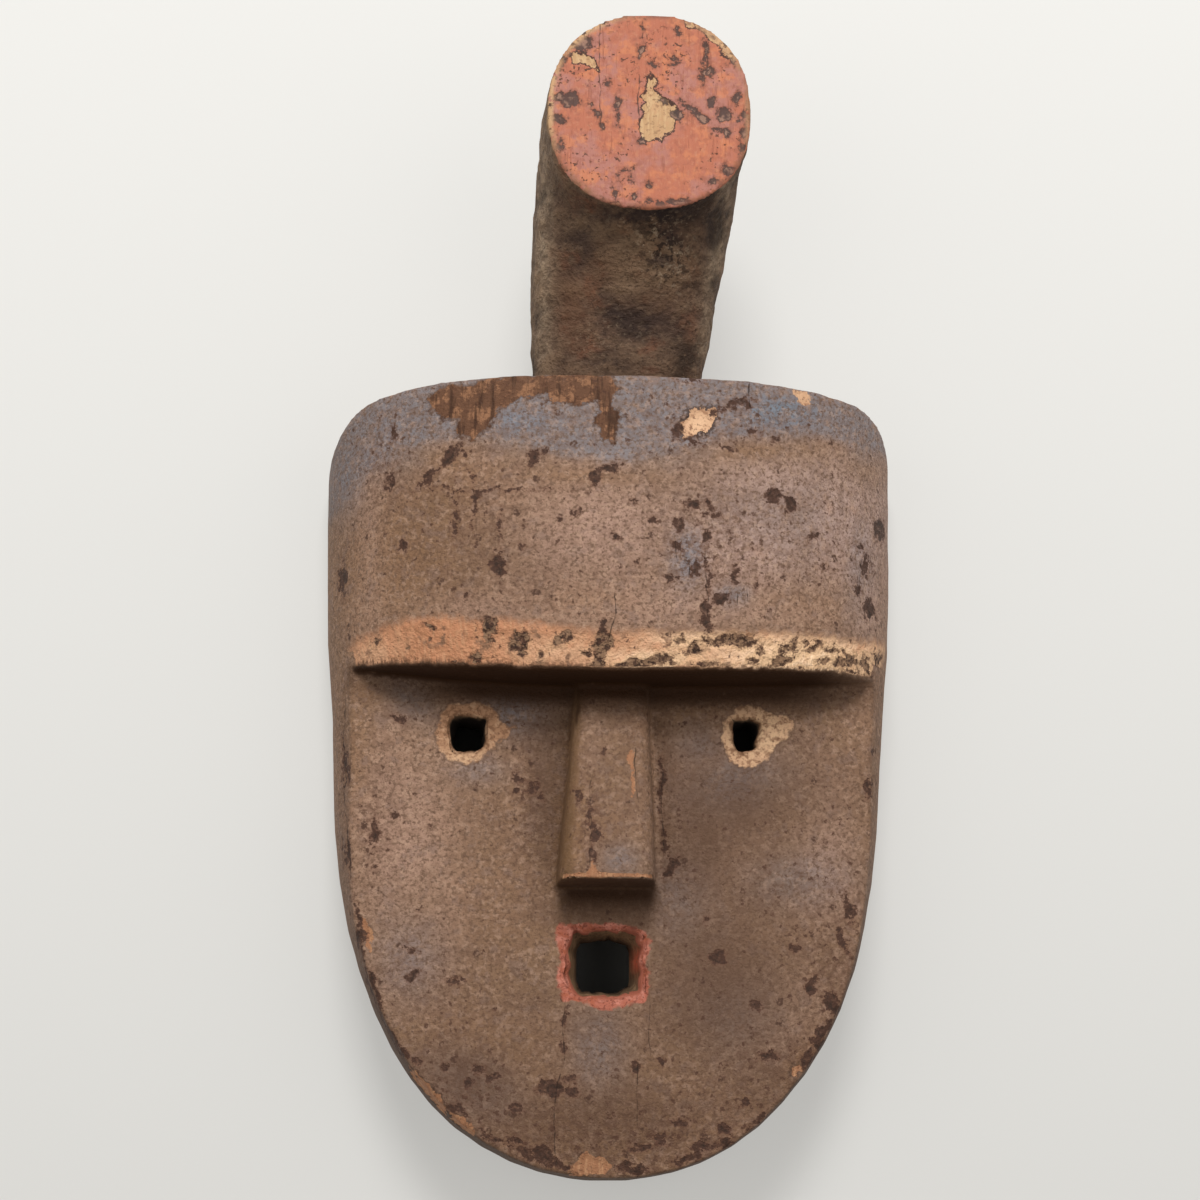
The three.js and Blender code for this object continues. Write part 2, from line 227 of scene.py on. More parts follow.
from_holes = reduce(np.minimum, (beyond_hole(places, hole) for hole in (*EYES, MOUTH)))
in_hole = (from_holes < HOLE_WALL) & (z < face_z - HOLE_LIP)
above = places / PER_METRE + normals * PROBE_LIFT
covered = np.array([shell.ray_cast(Vector(start), Vector((0, 0, 1)))[0] is not None
                    for start in above])
hollow = (covered & (z < HOLLOW_TOP_Z) | (facing_up < FACES_BACK)) & (y < HOLLOW_END_Y)
hollow &= (y > brow_y + BROW_CLEAR) | (z < face_z - BROW_CLEAR)
outside = ~hollow & ~in_hole
post = (y > POST_START_Y) & outside
post_end = post & (z > POST_END_Z - END_SKIN)

inward = sum((neighbour_mean(places[:, axis]) - places[:, axis]) * normals[:, axis]
             for axis in range(3))
convex = spread(-inward, CONVEX_ROUNDS) / CURVATURE_FULL
wide_convex = np.clip(spread(np.clip(convex, 0, 2), WIDE_ROUNDS) * WIDE_GAIN, 0, EDGE_MOST)
convex = np.clip(convex, 0, EDGE_MOST)

# Marks of age. Each is a place read from the photograph, in its pixels: patches where
# the paint is gone, dark stains, rust-brown and grey-blue paint, the red round the mouth, and
# the splits that follow the grain. A patch is kept on the mesh as the depth inside its outline.
MM_PER_PIXEL = 0.385
FAR = 99.0
FIELD_REACH = 6.0
TINT_FALL = 0.9
SEEN_FROM = 0.02
LEDGE_FACES_DOWN, LEDGE_REACH = -0.35, 4.0
END_FACES_UP, END_REACH = 0.35, 4.0
RAGGED_EDGES = [(3.6, 5.0, 11), (3.0, 2.4, 21)]
LIP_BELOW, LIP_ABOVE, LIP_RISE, LIP_ASIDE, LIP_FACES = 1.4, 2.4, 18.0, 4.5, -0.85
RUST_FOOT_Z, RUST_FROM_Y = 56.0, 70.0
RED_FOOT_Z = 46.0

BROW_BARE = [
    (350, 650), (357, 640), (380, 629), (407, 619), (440, 617), (480, 619), (540, 623), (600, 632),
    (704, 632), (770, 633), (828, 637), (889, 645), (889, 686), (871, 684), (847, 679), (798, 678),
    (760, 677), (704, 676), (610, 674), (522, 670), (447, 667), (419, 666), (377, 668), (349, 674),
]
EYE_RIMS = [
    [(455, 703), (470, 702), (484, 704), (494, 712), (501, 722), (512, 727), (509, 737),
     (497, 741), (490, 750), (480, 758), (464, 764), (449, 760), (440, 750), (436, 732),
     (440, 717), (447, 708)],
    [(733, 716), (742, 707), (754, 706), (765, 712), (776, 718), (787, 717), (792, 726),
     (786, 738), (774, 744), (769, 755), (757, 765), (742, 765), (730, 757), (722, 740),
     (725, 724)],
]
BARE_CHIPS = [
    [(677, 431), (681, 420), (693, 411), (708, 406), (719, 406), (717, 418), (708, 430),
     (695, 437), (683, 438)],
    [(793, 391), (806, 390), (813, 401), (809, 409), (798, 403)],
    [(357, 915), (366, 918), (371, 936), (369, 950), (361, 940)],
    [(408, 1068), (418, 1076), (434, 1086), (446, 1104), (444, 1114), (426, 1100), (406, 1082)],
    [(450, 1112), (470, 1124), (480, 1137), (466, 1140), (450, 1124)],
    [(572, 1163), (586, 1155), (601, 1158), (612, 1168), (603, 1177), (570, 1176)],
    [(789, 1077), (793, 1068), (802, 1062), (801, 1071), (794, 1082)],
    [(587, 878), (591, 860), (595, 866), (600, 879)],
    [(627, 757), (630, 747), (634, 752), (635, 776), (635, 800), (632, 797), (630, 774)],
    [(747, 640), (744, 628), (752, 631), (756, 640)],
]
END_BARE = [
    [(649, 74), (655, 84), (660, 92), (673, 105), (678, 118), (672, 131), (661, 137), (648, 141),
     (641, 131), (640, 120), (646, 98)],
    [(571, 54), (583, 53), (592, 60), (601, 69), (596, 70), (585, 65), (575, 62)],
    [(549, 148), (556, 160), (568, 180), (583, 193), (600, 203), (640, 209), (640, 214),
     (600, 210), (575, 196), (556, 170), (548, 156)],
    [(575, 30), (600, 17), (604, 21), (585, 33), (566, 52), (560, 50)],
    [(690, 21), (712, 32), (733, 54), (729, 56), (706, 35), (688, 25)],
]
RUST_PATCHES = [
    [(427, 397), (452, 386), (494, 377), (540, 373), (594, 372), (612, 377), (617, 393),
     (594, 401), (564, 403), (540, 393), (517, 399), (498, 407), (490, 428), (479, 437),
     (469, 441), (458, 434), (460, 420), (440, 414), (429, 406)],
    [(594, 393), (612, 393), (610, 405), (619, 412), (619, 428), (612, 443), (604, 439),
     (596, 424), (598, 412)],
]
MOUTH_RED = [
    (557, 925), (575, 921), (600, 923), (628, 924), (645, 928), (652, 940), (649, 965), (651, 990),
    (645, 1001), (622, 1008), (602, 1010), (584, 1003), (564, 1001), (556, 985), (559, 960),
    (555, 940),
]
BLUE_BAND = [
    (325, 365), (900, 365), (900, 472), (882, 455), (817, 434), (721, 437), (687, 451), (620, 462),
    (558, 455), (493, 437), (430, 440), (402, 450), (372, 470), (325, 530),
]

# Ovals: middle, half width, half height where it differs, and degrees of turn where they lean.
DARK_STAINS = [
    (498, 568, 8.5, 9.5), (450, 455, 16, 5.5, -46), (430, 478, 13, 4.5, -46), (532, 457, 5, 8, 20),
    (607, 468, 13, 4.5, -12), (595, 478, 6, 5), (391, 483, 5, 9), (404, 546, 3.5, 6, 15),
    (733, 405, 18, 2.4, -19), (485, 490, 34, 1.3), (456, 512, 1.4, 20, 4), (472, 505, 1.3, 16, -4),
    (500, 540, 1.3, 14, 2), (393, 431, 2.5, 7), (472, 496, 5, 4), (342, 580, 2.6, 14),
    (465, 596, 3), (464, 456, 3, 4), (544, 452, 3), (772, 498, 8, 9, 35), (790, 505, 8),
    (693, 503, 7, 4.5, -20), (678, 547, 5, 4), (813, 535, 5, 3, -30), (880, 531, 4, 10),
    (867, 566, 4, 12, -10), (871, 609, 4, 9, -15), (614, 536, 4, 5), (705, 620, 3, 9),
    (677, 431, 4.5, 8, 15), (694, 441, 8, 3, 5), (746, 403, 3.5, 5), (753, 431, 5, 3),
    (774, 442, 3), (728, 451, 5, 3, 10), (690, 382, 12, 2.5, 10), (489, 629, 8, 15, -15),
    (520, 641, 8, 12, 20), (567, 639, 13, 5.5, -30), (602, 645, 9, 14, 8), (600, 664, 5, 9, 10),
    (733, 641, 25, 6, 3), (643, 661, 30, 4, -12), (695, 652, 9, 6), (784, 648, 14, 2.6, -35),
    (812, 650, 9, 2.4, -30), (846, 655, 10, 2.4, 40), (695, 648, 6, 5), (784, 658, 11, 3.4, -25),
    (806, 644, 6, 2.4, -20), (645, 664, 25, 4, -4), (476, 660, 4, 8), (456, 662, 5, 4),
    (849, 660, 5, 6), (866, 667, 3.5, 9, -20), (823, 662, 7, 4, -15), (765, 668, 8, 4, -10),
    (750, 660, 5, 4), (668, 659, 10, 3, -10), (720, 672, 12, 3, 5), (800, 673, 9, 3, 8),
    (372, 640, 2.5, 4), (429, 626, 3, 4), (604, 630, 3.5, 10), (840, 664, 5, 3, 30),
    (709, 503, 3, 6), (711, 515, 7, 2.2, -5), (708, 538, 3, 5), (706, 560, 2.5, 8),
    (709, 583, 3, 9), (706, 605, 4.5, 6), (708, 622, 4, 8), (560, 520, 3), (576, 514, 3, 5, 20),
    (640, 560, 3), (634, 500, 4, 3, 30), (652, 520, 3), (520, 545, 2.5, 3), (455, 525, 2.5, 6),
    (860, 545, 4), (858, 590, 3, 7), (736, 574, 3, 8), (722, 598, 9, 7), (758, 585, 3, 5, 20),
    (826, 566, 3, 4), (672, 576, 5, 3), (694, 570, 6, 5), (680, 524, 4, 7, 20), (428, 640, 3),
    (407, 648, 2.5, 3), (524, 655, 3, 5), (541, 655, 2, 4), (588, 655, 3), (681, 640, 4, 3),
    (760, 652, 4, 3, 10), (776, 664, 4), (832, 650, 6, 2.5, 20), (853, 673, 8, 2.5, 10),
    (877, 660, 3, 6, 10), (709, 664, 12, 3, -5), (640, 668, 14, 2.4), (374, 833, 4.5, 12, -10),
    (393, 816, 2.5, 3), (375, 868, 2.6, 4), (345, 765, 2.4, 20, 2), (399, 720, 7, 3, 35),
    (348, 850, 2.4, 16, -3), (359, 930, 2.6, 24, -9), (373, 988, 2.6, 22, -17),
    (389, 1030, 2.8, 17, -27), (518, 777, 5, 4, 20), (531, 787, 6, 4, -20), (541, 796, 4),
    (514, 790, 4, 3), (870, 787, 4, 8, 10), (873, 755, 2.5, 4), (408, 950, 6, 3.5, 20),
    (410, 974, 7, 4, -15), (454, 980, 8, 3, 10), (492, 1010, 3), (418, 913, 2.5, 3),
    (416, 1060, 3.5, 4), (444, 1066, 3, 6), (477, 1068, 5), (467, 1083, 6, 5), (492, 1078, 6, 4),
    (515, 1107, 9, 5, 20), (551, 1088, 12, 9, 10), (570, 1090, 7, 5, 30), (636, 1067, 5, 7, 20),
    (661, 1060, 4), (566, 1018, 2.5, 7), (563, 1046, 3, 5), (718, 958, 9, 7, -20), (705, 923, 3),
    (756, 1004, 5.5), (768, 1056, 8, 4, -10), (745, 1104, 4), (680, 1121, 8, 4, 10),
    (726, 1130, 7, 5, -20), (660, 1139, 5, 6), (812, 984, 5, 9, 10), (848, 906, 4, 14, -15),
    (843, 940, 4, 12, -15), (832, 1003, 6, 12, -25), (818, 1045, 6, 7, -40), (794, 950, 3, 4),
    (770, 913, 2.5, 3), (640, 1148, 8, 4), (545, 1154, 10, 5, 15), (515, 1140, 9, 4, 25),
    (625, 1166, 7, 4), (700, 1147, 10, 4, -15), (594, 835, 4, 9), (590, 815, 3, 8),
    (593, 855, 4, 8), (603, 752, 3, 5), (577, 794, 4, 8), (667, 873, 4.5, 7),
    (664, 843, 2.6, 14, -8), (662, 790, 2.2, 24, 2), (673, 863, 4, 5), (571, 1078, 6, 3, -20),
    (402, 1054, 5, 3.5, 50), (455, 1108, 11, 3.2, 40), (492, 1136, 13, 3.5, 30),
    (524, 1153, 12, 3.5, 22), (556, 1165, 12, 3.2, 12), (634, 1171, 16, 3.4, -3),
    (684, 1160, 15, 3.5, -14), (724, 1144, 13, 3.4, -24), (762, 1120, 11, 3.2, -36),
    (806, 1060, 4, 12, 30), (824, 1030, 4, 14, 28),
]
END_DARK = [
    (582, 43, 11, 6, -20), (566, 98, 13, 7, 10), (558, 118, 9, 6, 20), (562, 60, 4, 6),
    (712, 100, 5), (736, 98, 4, 6), (690, 107, 6, 4), (745, 132, 4, 5), (716, 130, 5, 3),
    (684, 103, 5, 4, 30), (550, 150, 3, 8), (732, 60, 4), (702, 76, 3, 6), (727, 168, 7, 6),
    (673, 59, 4.6, 4.4), (700, 117, 10, 6, 20), (724, 115, 9, 6), (679, 117, 6, 7),
    (617, 104, 4.5, 8, 10), (594, 113, 5, 4), (592, 105, 3), (604, 126, 3.5, 4),
    (618, 120, 2.4, 6), (609, 84, 3), (642, 27, 2, 7), (641, 54, 4, 7, 10), (655, 64, 4),
    (645, 142, 4.5, 4), (679, 32, 3, 6, -25), (706, 50, 3, 8), (710, 70, 4, 5), (704, 62, 3, 5),
    (727, 132, 3), (744, 146, 4, 5), (747, 112, 2, 8), (712, 180, 5, 3), (635, 197, 4, 3),
    (560, 145, 3, 5), (614, 194, 2.4, 6), (649, 185, 3), (673, 203, 20, 3.5), (625, 168, 5, 2),
    (618, 177, 2, 5), (632, 177, 2, 5), (720, 194, 9, 4, -30), (664, 100, 5, 2.4, 40),
    (740, 120, 3),
]

# Soft tints: middle, half width, half height, strength, and degrees of turn where they lean.
CLOUDY_BLUE = [
    (521, 421, 42, 22, 1.05), (780, 412, 50, 20, 1.5), (660, 420, 60, 36, 0.75),
    (390, 445, 50, 26, 0.6, -25), (345, 470, 18, 40, 0.9), (700, 390, 60, 14, 0.75),
    (688, 556, 18, 30, 0.9), (733, 594, 18, 12, 0.7), (868, 430, 22, 30, 0.7),
    (515, 708, 34, 26, 0.7), (410, 700, 28, 16, 0.5, 30), (735, 780, 44, 26, 0.6, -20),
    (700, 745, 26, 20, 0.45), (800, 880, 50, 26, 0.4), (680, 900, 30, 40, 0.4),
    (410, 960, 30, 40, 0.4), (470, 1085, 50, 30, 0.4, 20), (600, 1050, 26, 40, 0.5),
    (735, 1015, 40, 34, 0.35), (860, 560, 18, 60, 0.5), (620, 858, 18, 14, 0.6),
    (478, 770, 26, 14, 0.4), (790, 520, 110, 60, 0.35),
]
FACE_TINTS = {
    "ochre": [
        (352, 560, 26, 90, 0.7), (440, 1060, 60, 60, 0.5, 20), (600, 1130, 150, 40, 0.5),
        (480, 860, 50, 120, 0.3), (700, 720, 60, 40, 0.4), (480, 1060, 70, 40, 0.7, 10),
        (430, 457, 40, 8, 0.8, 15), (600, 476, 70, 8, 0.6), (760, 452, 70, 9, 0.8),
        (866, 470, 22, 14, 0.6, 20), (400, 560, 70, 70, 0.5), (450, 500, 50, 40, 0.3),
        (372, 694, 22, 10, 0.9, 10), (355, 750, 12, 50, 0.4), (568, 830, 17, 54, 1, 4),
        (571, 740, 7, 40, 0.9, 3), (600, 830, 26, 50, 0.35), (620, 760, 24, 50, 0.25),
        (440, 1110, 40, 16, 0.6, 40), (800, 1060, 14, 30, 0.7, 40), (690, 1040, 24, 20, 0.4),
        (640, 1065, 30, 12, 0.4), (800, 600, 60, 20, 0.5), (500, 930, 60, 30, 0.3),
        (760, 1010, 30, 30, 0.3), (590, 600, 60, 14, 0.5), (420, 905, 24, 24, 0.4),
    ],
    "lighter": [
        (415, 850, 60, 110, 0.55), (640, 600, 130, 24, 0.7), (470, 606, 70, 14, 0.5),
        (600, 530, 80, 50, 0.75), (780, 480, 80, 26, 0.8), (750, 550, 64, 50, 0.95),
        (362, 560, 22, 90, 0.8), (790, 1020, 50, 50, 0.2), (600, 720, 20, 40, 0.2),
        (830, 850, 26, 60, 0.5), (770, 610, 80, 16, 0.6), (850, 530, 46, 70, 1.2),
        (870, 600, 18, 40, 1), (880, 520, 20, 90, 1),
    ],
    # Here the strips just under the brow and the patches beside and under the nose are painted
    # shade over darker tone.
    "darker": [
        (705, 830, 46, 110, 1), (790, 790, 80, 60, 0.6), (600, 1040, 260, 90, 0.5),
        (620, 698, 230, 12, 0.8), (617, 715, 30, 30, 0.6), (480, 950, 110, 70, 0.3),
        (543, 780, 20, 90, 0.9), (572, 825, 12, 50, 0.45, 4), (610, 912, 90, 22, 1),
        (600, 1120, 170, 50, 0.9), (470, 1080, 70, 46, 0.95, 25), (760, 1080, 70, 50, 0.75, -30),
        (480, 830, 44, 60, 0.3), (610, 830, 50, 90, 0.4), (740, 805, 60, 60, 1),
        (830, 960, 30, 60, 0.5), (720, 980, 90, 110, 1), (400, 700, 60, 18, 0.5, 12),
        (800, 700, 80, 18, 0.7), (345, 560, 14, 90, 0.3), (480, 560, 90, 60, 0.35),
        (430, 500, 40, 30, 0.3), (620, 780, 50, 90, 0.45), (670, 780, 10, 90, 0.8),
        (740, 930, 60, 60, 0.5), (345, 770, 6, 90, 0.6), (380, 1030, 14, 60, 0.5, -22),
    ],
    "specks": [
        (600, 1135, 170, 50, 1), (470, 1075, 70, 46, 0.8, 25), (760, 1070, 90, 60, 0.7, -30),
        (840, 960, 40, 90, 0.7), (700, 1000, 70, 80, 0.5), (790, 880, 70, 60, 0.4),
        (700, 840, 40, 70, 0.4), (530, 800, 20, 80, 0.7), (700, 540, 60, 60, 0.7),
        (620, 560, 60, 60, 0.3), (560, 590, 120, 30, 0.3), (800, 560, 80, 60, 0.35),
        (470, 520, 80, 60, 0.35), (380, 470, 30, 60, 0.5), (590, 820, 14, 60, 0.9),
        (640, 720, 20, 20, 0.5), (375, 830, 16, 60, 0.7), (700, 420, 90, 30, 0.5),
        (420, 1000, 60, 50, 0.4, 30), (560, 420, 120, 30, 0.35),
    ],
}
OUTLINED = [
    (698, 424, 30, 24, 1), (600, 1170, 30, 12, 0.5), (440, 1100, 50, 30, 0.4, 40),
    (795, 1073, 12, 14, 0.5), (360, 935, 10, 24, 0.2),
]
CREAMY = [
    (800, 660, 90, 26, 1, 2), (655, 662, 56, 14, 0.9, -3), (700, 640, 60, 14, 0.7),
    (560, 652, 50, 18, 0.3), (372, 655, 26, 14, 0.25, -20), (698, 424, 26, 18, 1, -20),
    (800, 397, 20, 14, 0.7), (757, 735, 44, 34, 0.8), (462, 758, 30, 9, 0.5),
]
RED_BLOB = [(636, 962, 5, 11, 1)]
RIM_PALE = [
    (552, 100, 12, 56, 1, 8), (585, 32, 34, 18, 1, -30), (722, 44, 26, 26, 0.9, 40),
    (749, 120, 8, 40, 0.35), (575, 196, 26, 12, 0.45, 40),
]
# Painted light along both flanks of the post.
POST_FLANK_LIGHT = [
    (543, 250, 9, 130, 1), (541, 330, 12, 50, 0.7), (725, 190, 7, 50, 0.7),
    (717, 255, 9, 56, 1, 10), (706, 330, 8, 44, 0.9, 5),
]
# Dark patches on the post, with painted shadow under the red end's overhang and in the dent low on
# its front.
POST_DARK_AND_SHADE = [
    (638, 318, 74, 24, 0.5, 6), (672, 238, 12, 10, 0.8, 20), (662, 262, 18, 7, 0.7, 25),
    (580, 244, 16, 26, 0.7), (650, 214, 60, 9, 0.9), (712, 228, 12, 26, 0.6, 8),
    (560, 190, 6, 30, 0.3, 20), (600, 360, 40, 10, 0.4),
]
POST_RED = [(572, 310, 16, 36, 0.8), (660, 300, 30, 16, 0.4), (600, 270, 20, 20, 0.4)]
POST_CRUST = [(664, 250, 24, 44, 1, -20), (650, 218, 50, 10, 0.7), (600, 330, 50, 30, 0.35)]

# Splits: points down the line, then how wide it stands open.
SPLITS = [
    [(706, 550), (705, 570), (709, 600), (706, 629), 0.4],
    [(614, 592), (617, 612), (612, 628), (606, 645), 0.7],
    [(750, 380), (749, 395), (751, 412), 0.8], [(650, 995), (649, 1020), (650, 1060), 0.3],
    [(638, 1062), (637, 1100), (636, 1128), 0.35],
    [(565, 999), (563, 1030), (565, 1060), (557, 1085), (554, 1110), (556, 1168), 0.6],
    [(663, 763), (662, 790), (662, 818), (664, 850), 0.6],
    [(593, 772), (590, 790), (592, 820), (589, 850), (590, 868), 0.35],
    [(600, 20), (599, 60), (601, 130), 0.5], [(642, 20), (643, 42), 0.8],
    [(706, 42), (708, 60), (706, 78), 0.8], [(640, 75), (638, 110), (641, 140), 0.9],
    [(636, 742), (635, 760), (638, 800), 0.4],
    [(345, 700), (344, 745), (344, 790), (347, 840), (351, 880), 0.4],
    [(738, 588), (737, 606), 0.6], [(728, 590), (727, 604), 0.5], [(747, 586), (748, 602), 0.6],
    [(676, 540), (677, 560), 0.5], [(862, 560), (860, 600), 0.5], [(690, 560), (688, 580), 0.5],
]


def depth_inside(spots, outline):
    """Distance in pixels from a closed outline, positive inside it."""
    corners = np.array(outline, float)
    nearest = np.full(len(spots), np.inf)
    inside = np.zeros(len(spots), bool)
    for start, end in zip(corners, np.roll(corners, -1, 0)):
        side = end - start
        along = np.clip(((spots - start) @ side) / (side @ side), 0, 1)
        gap = np.linalg.norm(spots - start - along[:, None] * side, axis=1)
        nearest = np.minimum(nearest, gap)
        crossing = start[0] + (spots[:, 1] - start[1]) / (side[1] or 1) * side[0]
        straddles = (start[1] > spots[:, 1]) != (end[1] > spots[:, 1])
        inside ^= straddles & (spots[:, 0] < crossing)
    return np.where(inside, nearest, -nearest)


def oval_reach(spots, oval):
    """Distance from an oval's middle as a share of its radius."""
    x, y, half_width, *rest = oval
    half_height, turn = rest + [half_width, 0][len(rest):]
    angle = math.radians(turn)
    away = spots - (x, y)
    along = away[:, 0] * math.cos(angle) + away[:, 1] * math.sin(angle)
    aside = away[:, 1] * math.cos(angle) - away[:, 0] * math.sin(angle)
    return np.hypot(along / half_width, aside / half_height)


def deepest(spots, outlines):
    """Depth in millimetres inside the nearest of several outlines."""
    return reduce(np.maximum, (depth_inside(spots, o) * MM_PER_PIXEL for o in outlines))


def deepest_oval(spots, ovals):
    """Depth in millimetres inside the nearest of several ovals."""
    return reduce(np.maximum, ((1 - oval_reach(spots, oval)) * (min(oval[2:4]) * MM_PER_PIXEL)
                               for oval in ovals))


def clouds(spots, tints):
    """Soft tints: each gives its strength in the middle and nothing past twice its radius."""
    found = np.zeros(len(spots))
    for *oval, strength, turn in ((*tint, 0)[:6] for tint in tints):
        faded = np.exp(-oval_reach(spots, (*oval, turn)) ** 2 * TINT_FALL)
        found = np.maximum(found, strength * faded)
    return found


def limited(depth, where):
    """Keeps a depth field within a few millimetres, and far outside its outline elsewhere."""
    return np.where(where, np.clip(depth, -FIELD_REACH, FIELD_REACH), -FIELD_REACH)


def strayed(share):
    """The vertices' places in the photograph, with a share of the ragged edges' wander."""
    return ragged * share + spots * (1 - share)


seen = (facing_out > SEEN_FROM) & outside
on_mask = seen & ~post
on_end = seen & post & (facing_up > END_FACES_UP) & (z > POST_END_Z - END_REACH)
spots = photo_places(places)
ragged = spots.copy()
for axis in range(2):
    ragged[:, axis] += sum(stray * lumps(places, size, seed + axis)
                           for stray, size, seed in RAGGED_EDGES)

under_ledge = (facing_head < LEDGE_FACES_DOWN) & (np.abs(y - brow_y) < LEDGE_REACH)
under_ledge &= z > face_z - 1
on_brow = (y > brow_y - BROW_CLEAR) & (z > face_z + BROW_CLEAR) & ~under_ledge
brow_bare = deepest(strayed(0.4), [BROW_BARE])
brow_bare = np.where(under_ledge, np.minimum(brow_bare, -1.5), brow_bare)
brow_bare = np.where((y < brow_y + 6) & ~on_brow & ~under_ledge, -FAR, brow_bare)
brow_bare = np.minimum(brow_bare, (z - face_z + 4 + 5 * lumps(places, 9.0, 14)) * 0.5)
eye_rims = deepest(strayed(0.6), EYE_RIMS)
nose_lip = (y > NOSE_END_Y - LIP_BELOW) & (y < NOSE_END_Y + LIP_ABOVE)
nose_lip &= (np.abs(x - NOSE_X) < NOSE_HALF_TOP + LIP_ASIDE) & (z > face_z + LIP_RISE)
nose_lip &= facing_head > LIP_FACES
chips = np.where(nose_lip, 1.5 + 0.7 * lumps(places, 4.0, 13), deepest(ragged, BARE_CHIPS))
end_bare = deepest(ragged, END_BARE)
down_side = np.where(y < brow_y, (z - face_z + 9 + 5 * lumps(places, 8.0, 16)) * 0.5, FAR)
bare = np.where(on_mask, np.minimum(chips, down_side), np.where(on_end, end_bare, -FAR))
dark = np.where(on_mask, np.minimum(deepest_oval(ragged, DARK_STAINS), down_side),
                np.where(on_end, deepest_oval(ragged, END_DARK), -FAR))
dark = np.where(under_ledge, -FAR, dark)
rust = np.where(on_mask | ((y > RUST_FROM_Y) & ~post), deepest(ragged, RUST_PATCHES), -FAR)
rust = np.minimum(rust, (z - RUST_FOOT_Z + 9 * lumps(places, 12.0, 15)) * 0.4)
red_ring = np.where(on_mask | (in_hole & (z > RED_FOOT_Z)),
                    deepest(strayed(0.5), [MOUTH_RED]), -FAR)

split_side = np.full(count, FIELD_REACH)
split_open = np.zeros(count)
across_spots, down_spots = strayed(0.35)[:, 0], spots[:, 1]
for *points, width in SPLITS:
    line_across, line_down = np.array(points, float).T
    across = (across_spots - np.interp(down_spots, line_down, line_across)) * MM_PER_PIXEL
    past = np.maximum(line_down[0] - down_spots, down_spots - line_down[-1]) * MM_PER_PIXEL
    open_here = width * np.clip(1 - np.abs(across) / 4, 0, 1) * np.clip(-past / 2, 0, 1)
    nearer = np.abs(across) < np.minimum(np.abs(split_side), 5)
    wins = ((open_here > split_open) | (past < 3) & (split_open == 0) & nearer) & seen
    split_side = np.where(wins, np.clip(across, -FIELD_REACH, FIELD_REACH), split_side)
    split_open = np.where(wins, open_here, split_open)

# Shaping marks, in millimetres along the surface: slow hand-carved waves, facets on the bared
# brow, edges rubbed away unevenly, dished eye rims, chips and stains a paint's thickness
# deep, the post's rough bark-like skin, and the gouge's scoops in the hollow.
WAVES = [(0.42, 38.0), (0.22, 15.0), (0.10, 6.0)]
POST_LUMPS = [(0.55, 19.0), (0.45, 8.5), (0.30, 4.2), (0.16, 2.4)]
POST_STRETCH = np.array([1.7, 0.8, 1])
POST_DENT = (640, 322, 44, 15, 5)
POST_SWELL = (650, 262, 44, 34)
SWELL_HEIGHT, DENT_SHARE = 1.2, 1.1
CRUST_LUMPS = [(0.75, 3.4), (0.55, 2.3)]
EYE_DISH_DEPTH, EYE_DISH_REACH = 1.0, 5.5
MOUTH_ROUNDING, MOUTH_ROUNDING_REACH = 1.1, 3.6
CHIP_DEPTH, END_CHIP_DEPTH = 0.7, 0.35
STAIN_DEPTH = 0.22
SPLIT_DEPTH, SPLIT_WIDTH = 0.55, 0.9
HOLE_WOBBLE, HOLE_WOBBLE_REACH = 1.3, 1.6
HOLE_STRETCH = np.array([1, 1, 4])
EDGE_LOSS = 0.35
FACET_STRETCH = np.array([2.2, 1, 1])
SCOOP_SIZE = np.array((15.0, 22.0, 15.0))
SCOOP_DEPTH, SCOOP_MIDDLE = 1.3, 0.45
RIM_FLAT_Z, RIM_FADE = 1.0, 6.0
END_RING, END_RAISED_MOST = 2.0, 0.05


def eased(value, none, full):
    """0 up to none, 1 from full, and smooth between."""
    share = np.clip((value - none) / (full - none), 0, 1)
    return share * share * (3 - 2 * share)


def piled(points, layers, seed):
    """Lumps of several (height, size) layers together, each with the next seed."""
    return sum(height * lumps(points, size, seed + i) for i, (height, size) in enumerate(layers))


raised = piled(places, WAVES, 31) * (outside & ~post)
raised -= (EDGE_LOSS * convex * (0.75 + 0.9 * lumps(places, 7.0, 41)
                                 + 0.6 * lumps(places, 3.0, 42)).clip(0, 2)
           * outside * (1 - 0.75 * post))
raised += eased(brow_bare, -0.5, 1.0) * on_mask * (
    -0.25 + 0.32 * lumps(places / FACET_STRETCH, 7.0, 43) + 0.2 * lumps(places, 3.2, 44))
for eye in EYES:
    dish = (1 - eased(beyond_hole(places, eye), 0, EYE_DISH_REACH)) * eased(eye_rims, -1, 1)
    raised -= EYE_DISH_DEPTH * dish * on_mask * (0.8 + 0.5 * lumps(places, 3.5, 45))
gap = beyond_hole(places, MOUTH)
raised -= MOUTH_ROUNDING * (1 - eased(gap, 0, MOUTH_ROUNDING_REACH)) * on_mask * (gap > -0.8)
raised -= CHIP_DEPTH * eased(bare, -0.2, 1.0) * on_mask
raised -= END_CHIP_DEPTH * eased(end_bare, -0.1, 0.7) * on_end
raised -= STAIN_DEPTH * eased(dark, -0.3, 0.5) * (on_mask | on_end)
raised -= SPLIT_DEPTH * split_open * np.exp(-(split_side / SPLIT_WIDTH) ** 2)
rough_post = post & ~on_end
raised += piled(places / POST_STRETCH, POST_LUMPS, 51) * rough_post
crust = clouds(spots, POST_CRUST) * rough_post * (facing_out > 0)
raised += crust * piled(places, CRUST_LUMPS, 61)
swell, dent = (np.exp(-oval_reach(spots, oval) ** 2) for oval in (POST_SWELL, POST_DENT))
raised += SWELL_HEIGHT * (swell - DENT_SHARE * dent) * (rough_post & (facing_out > 0.1))
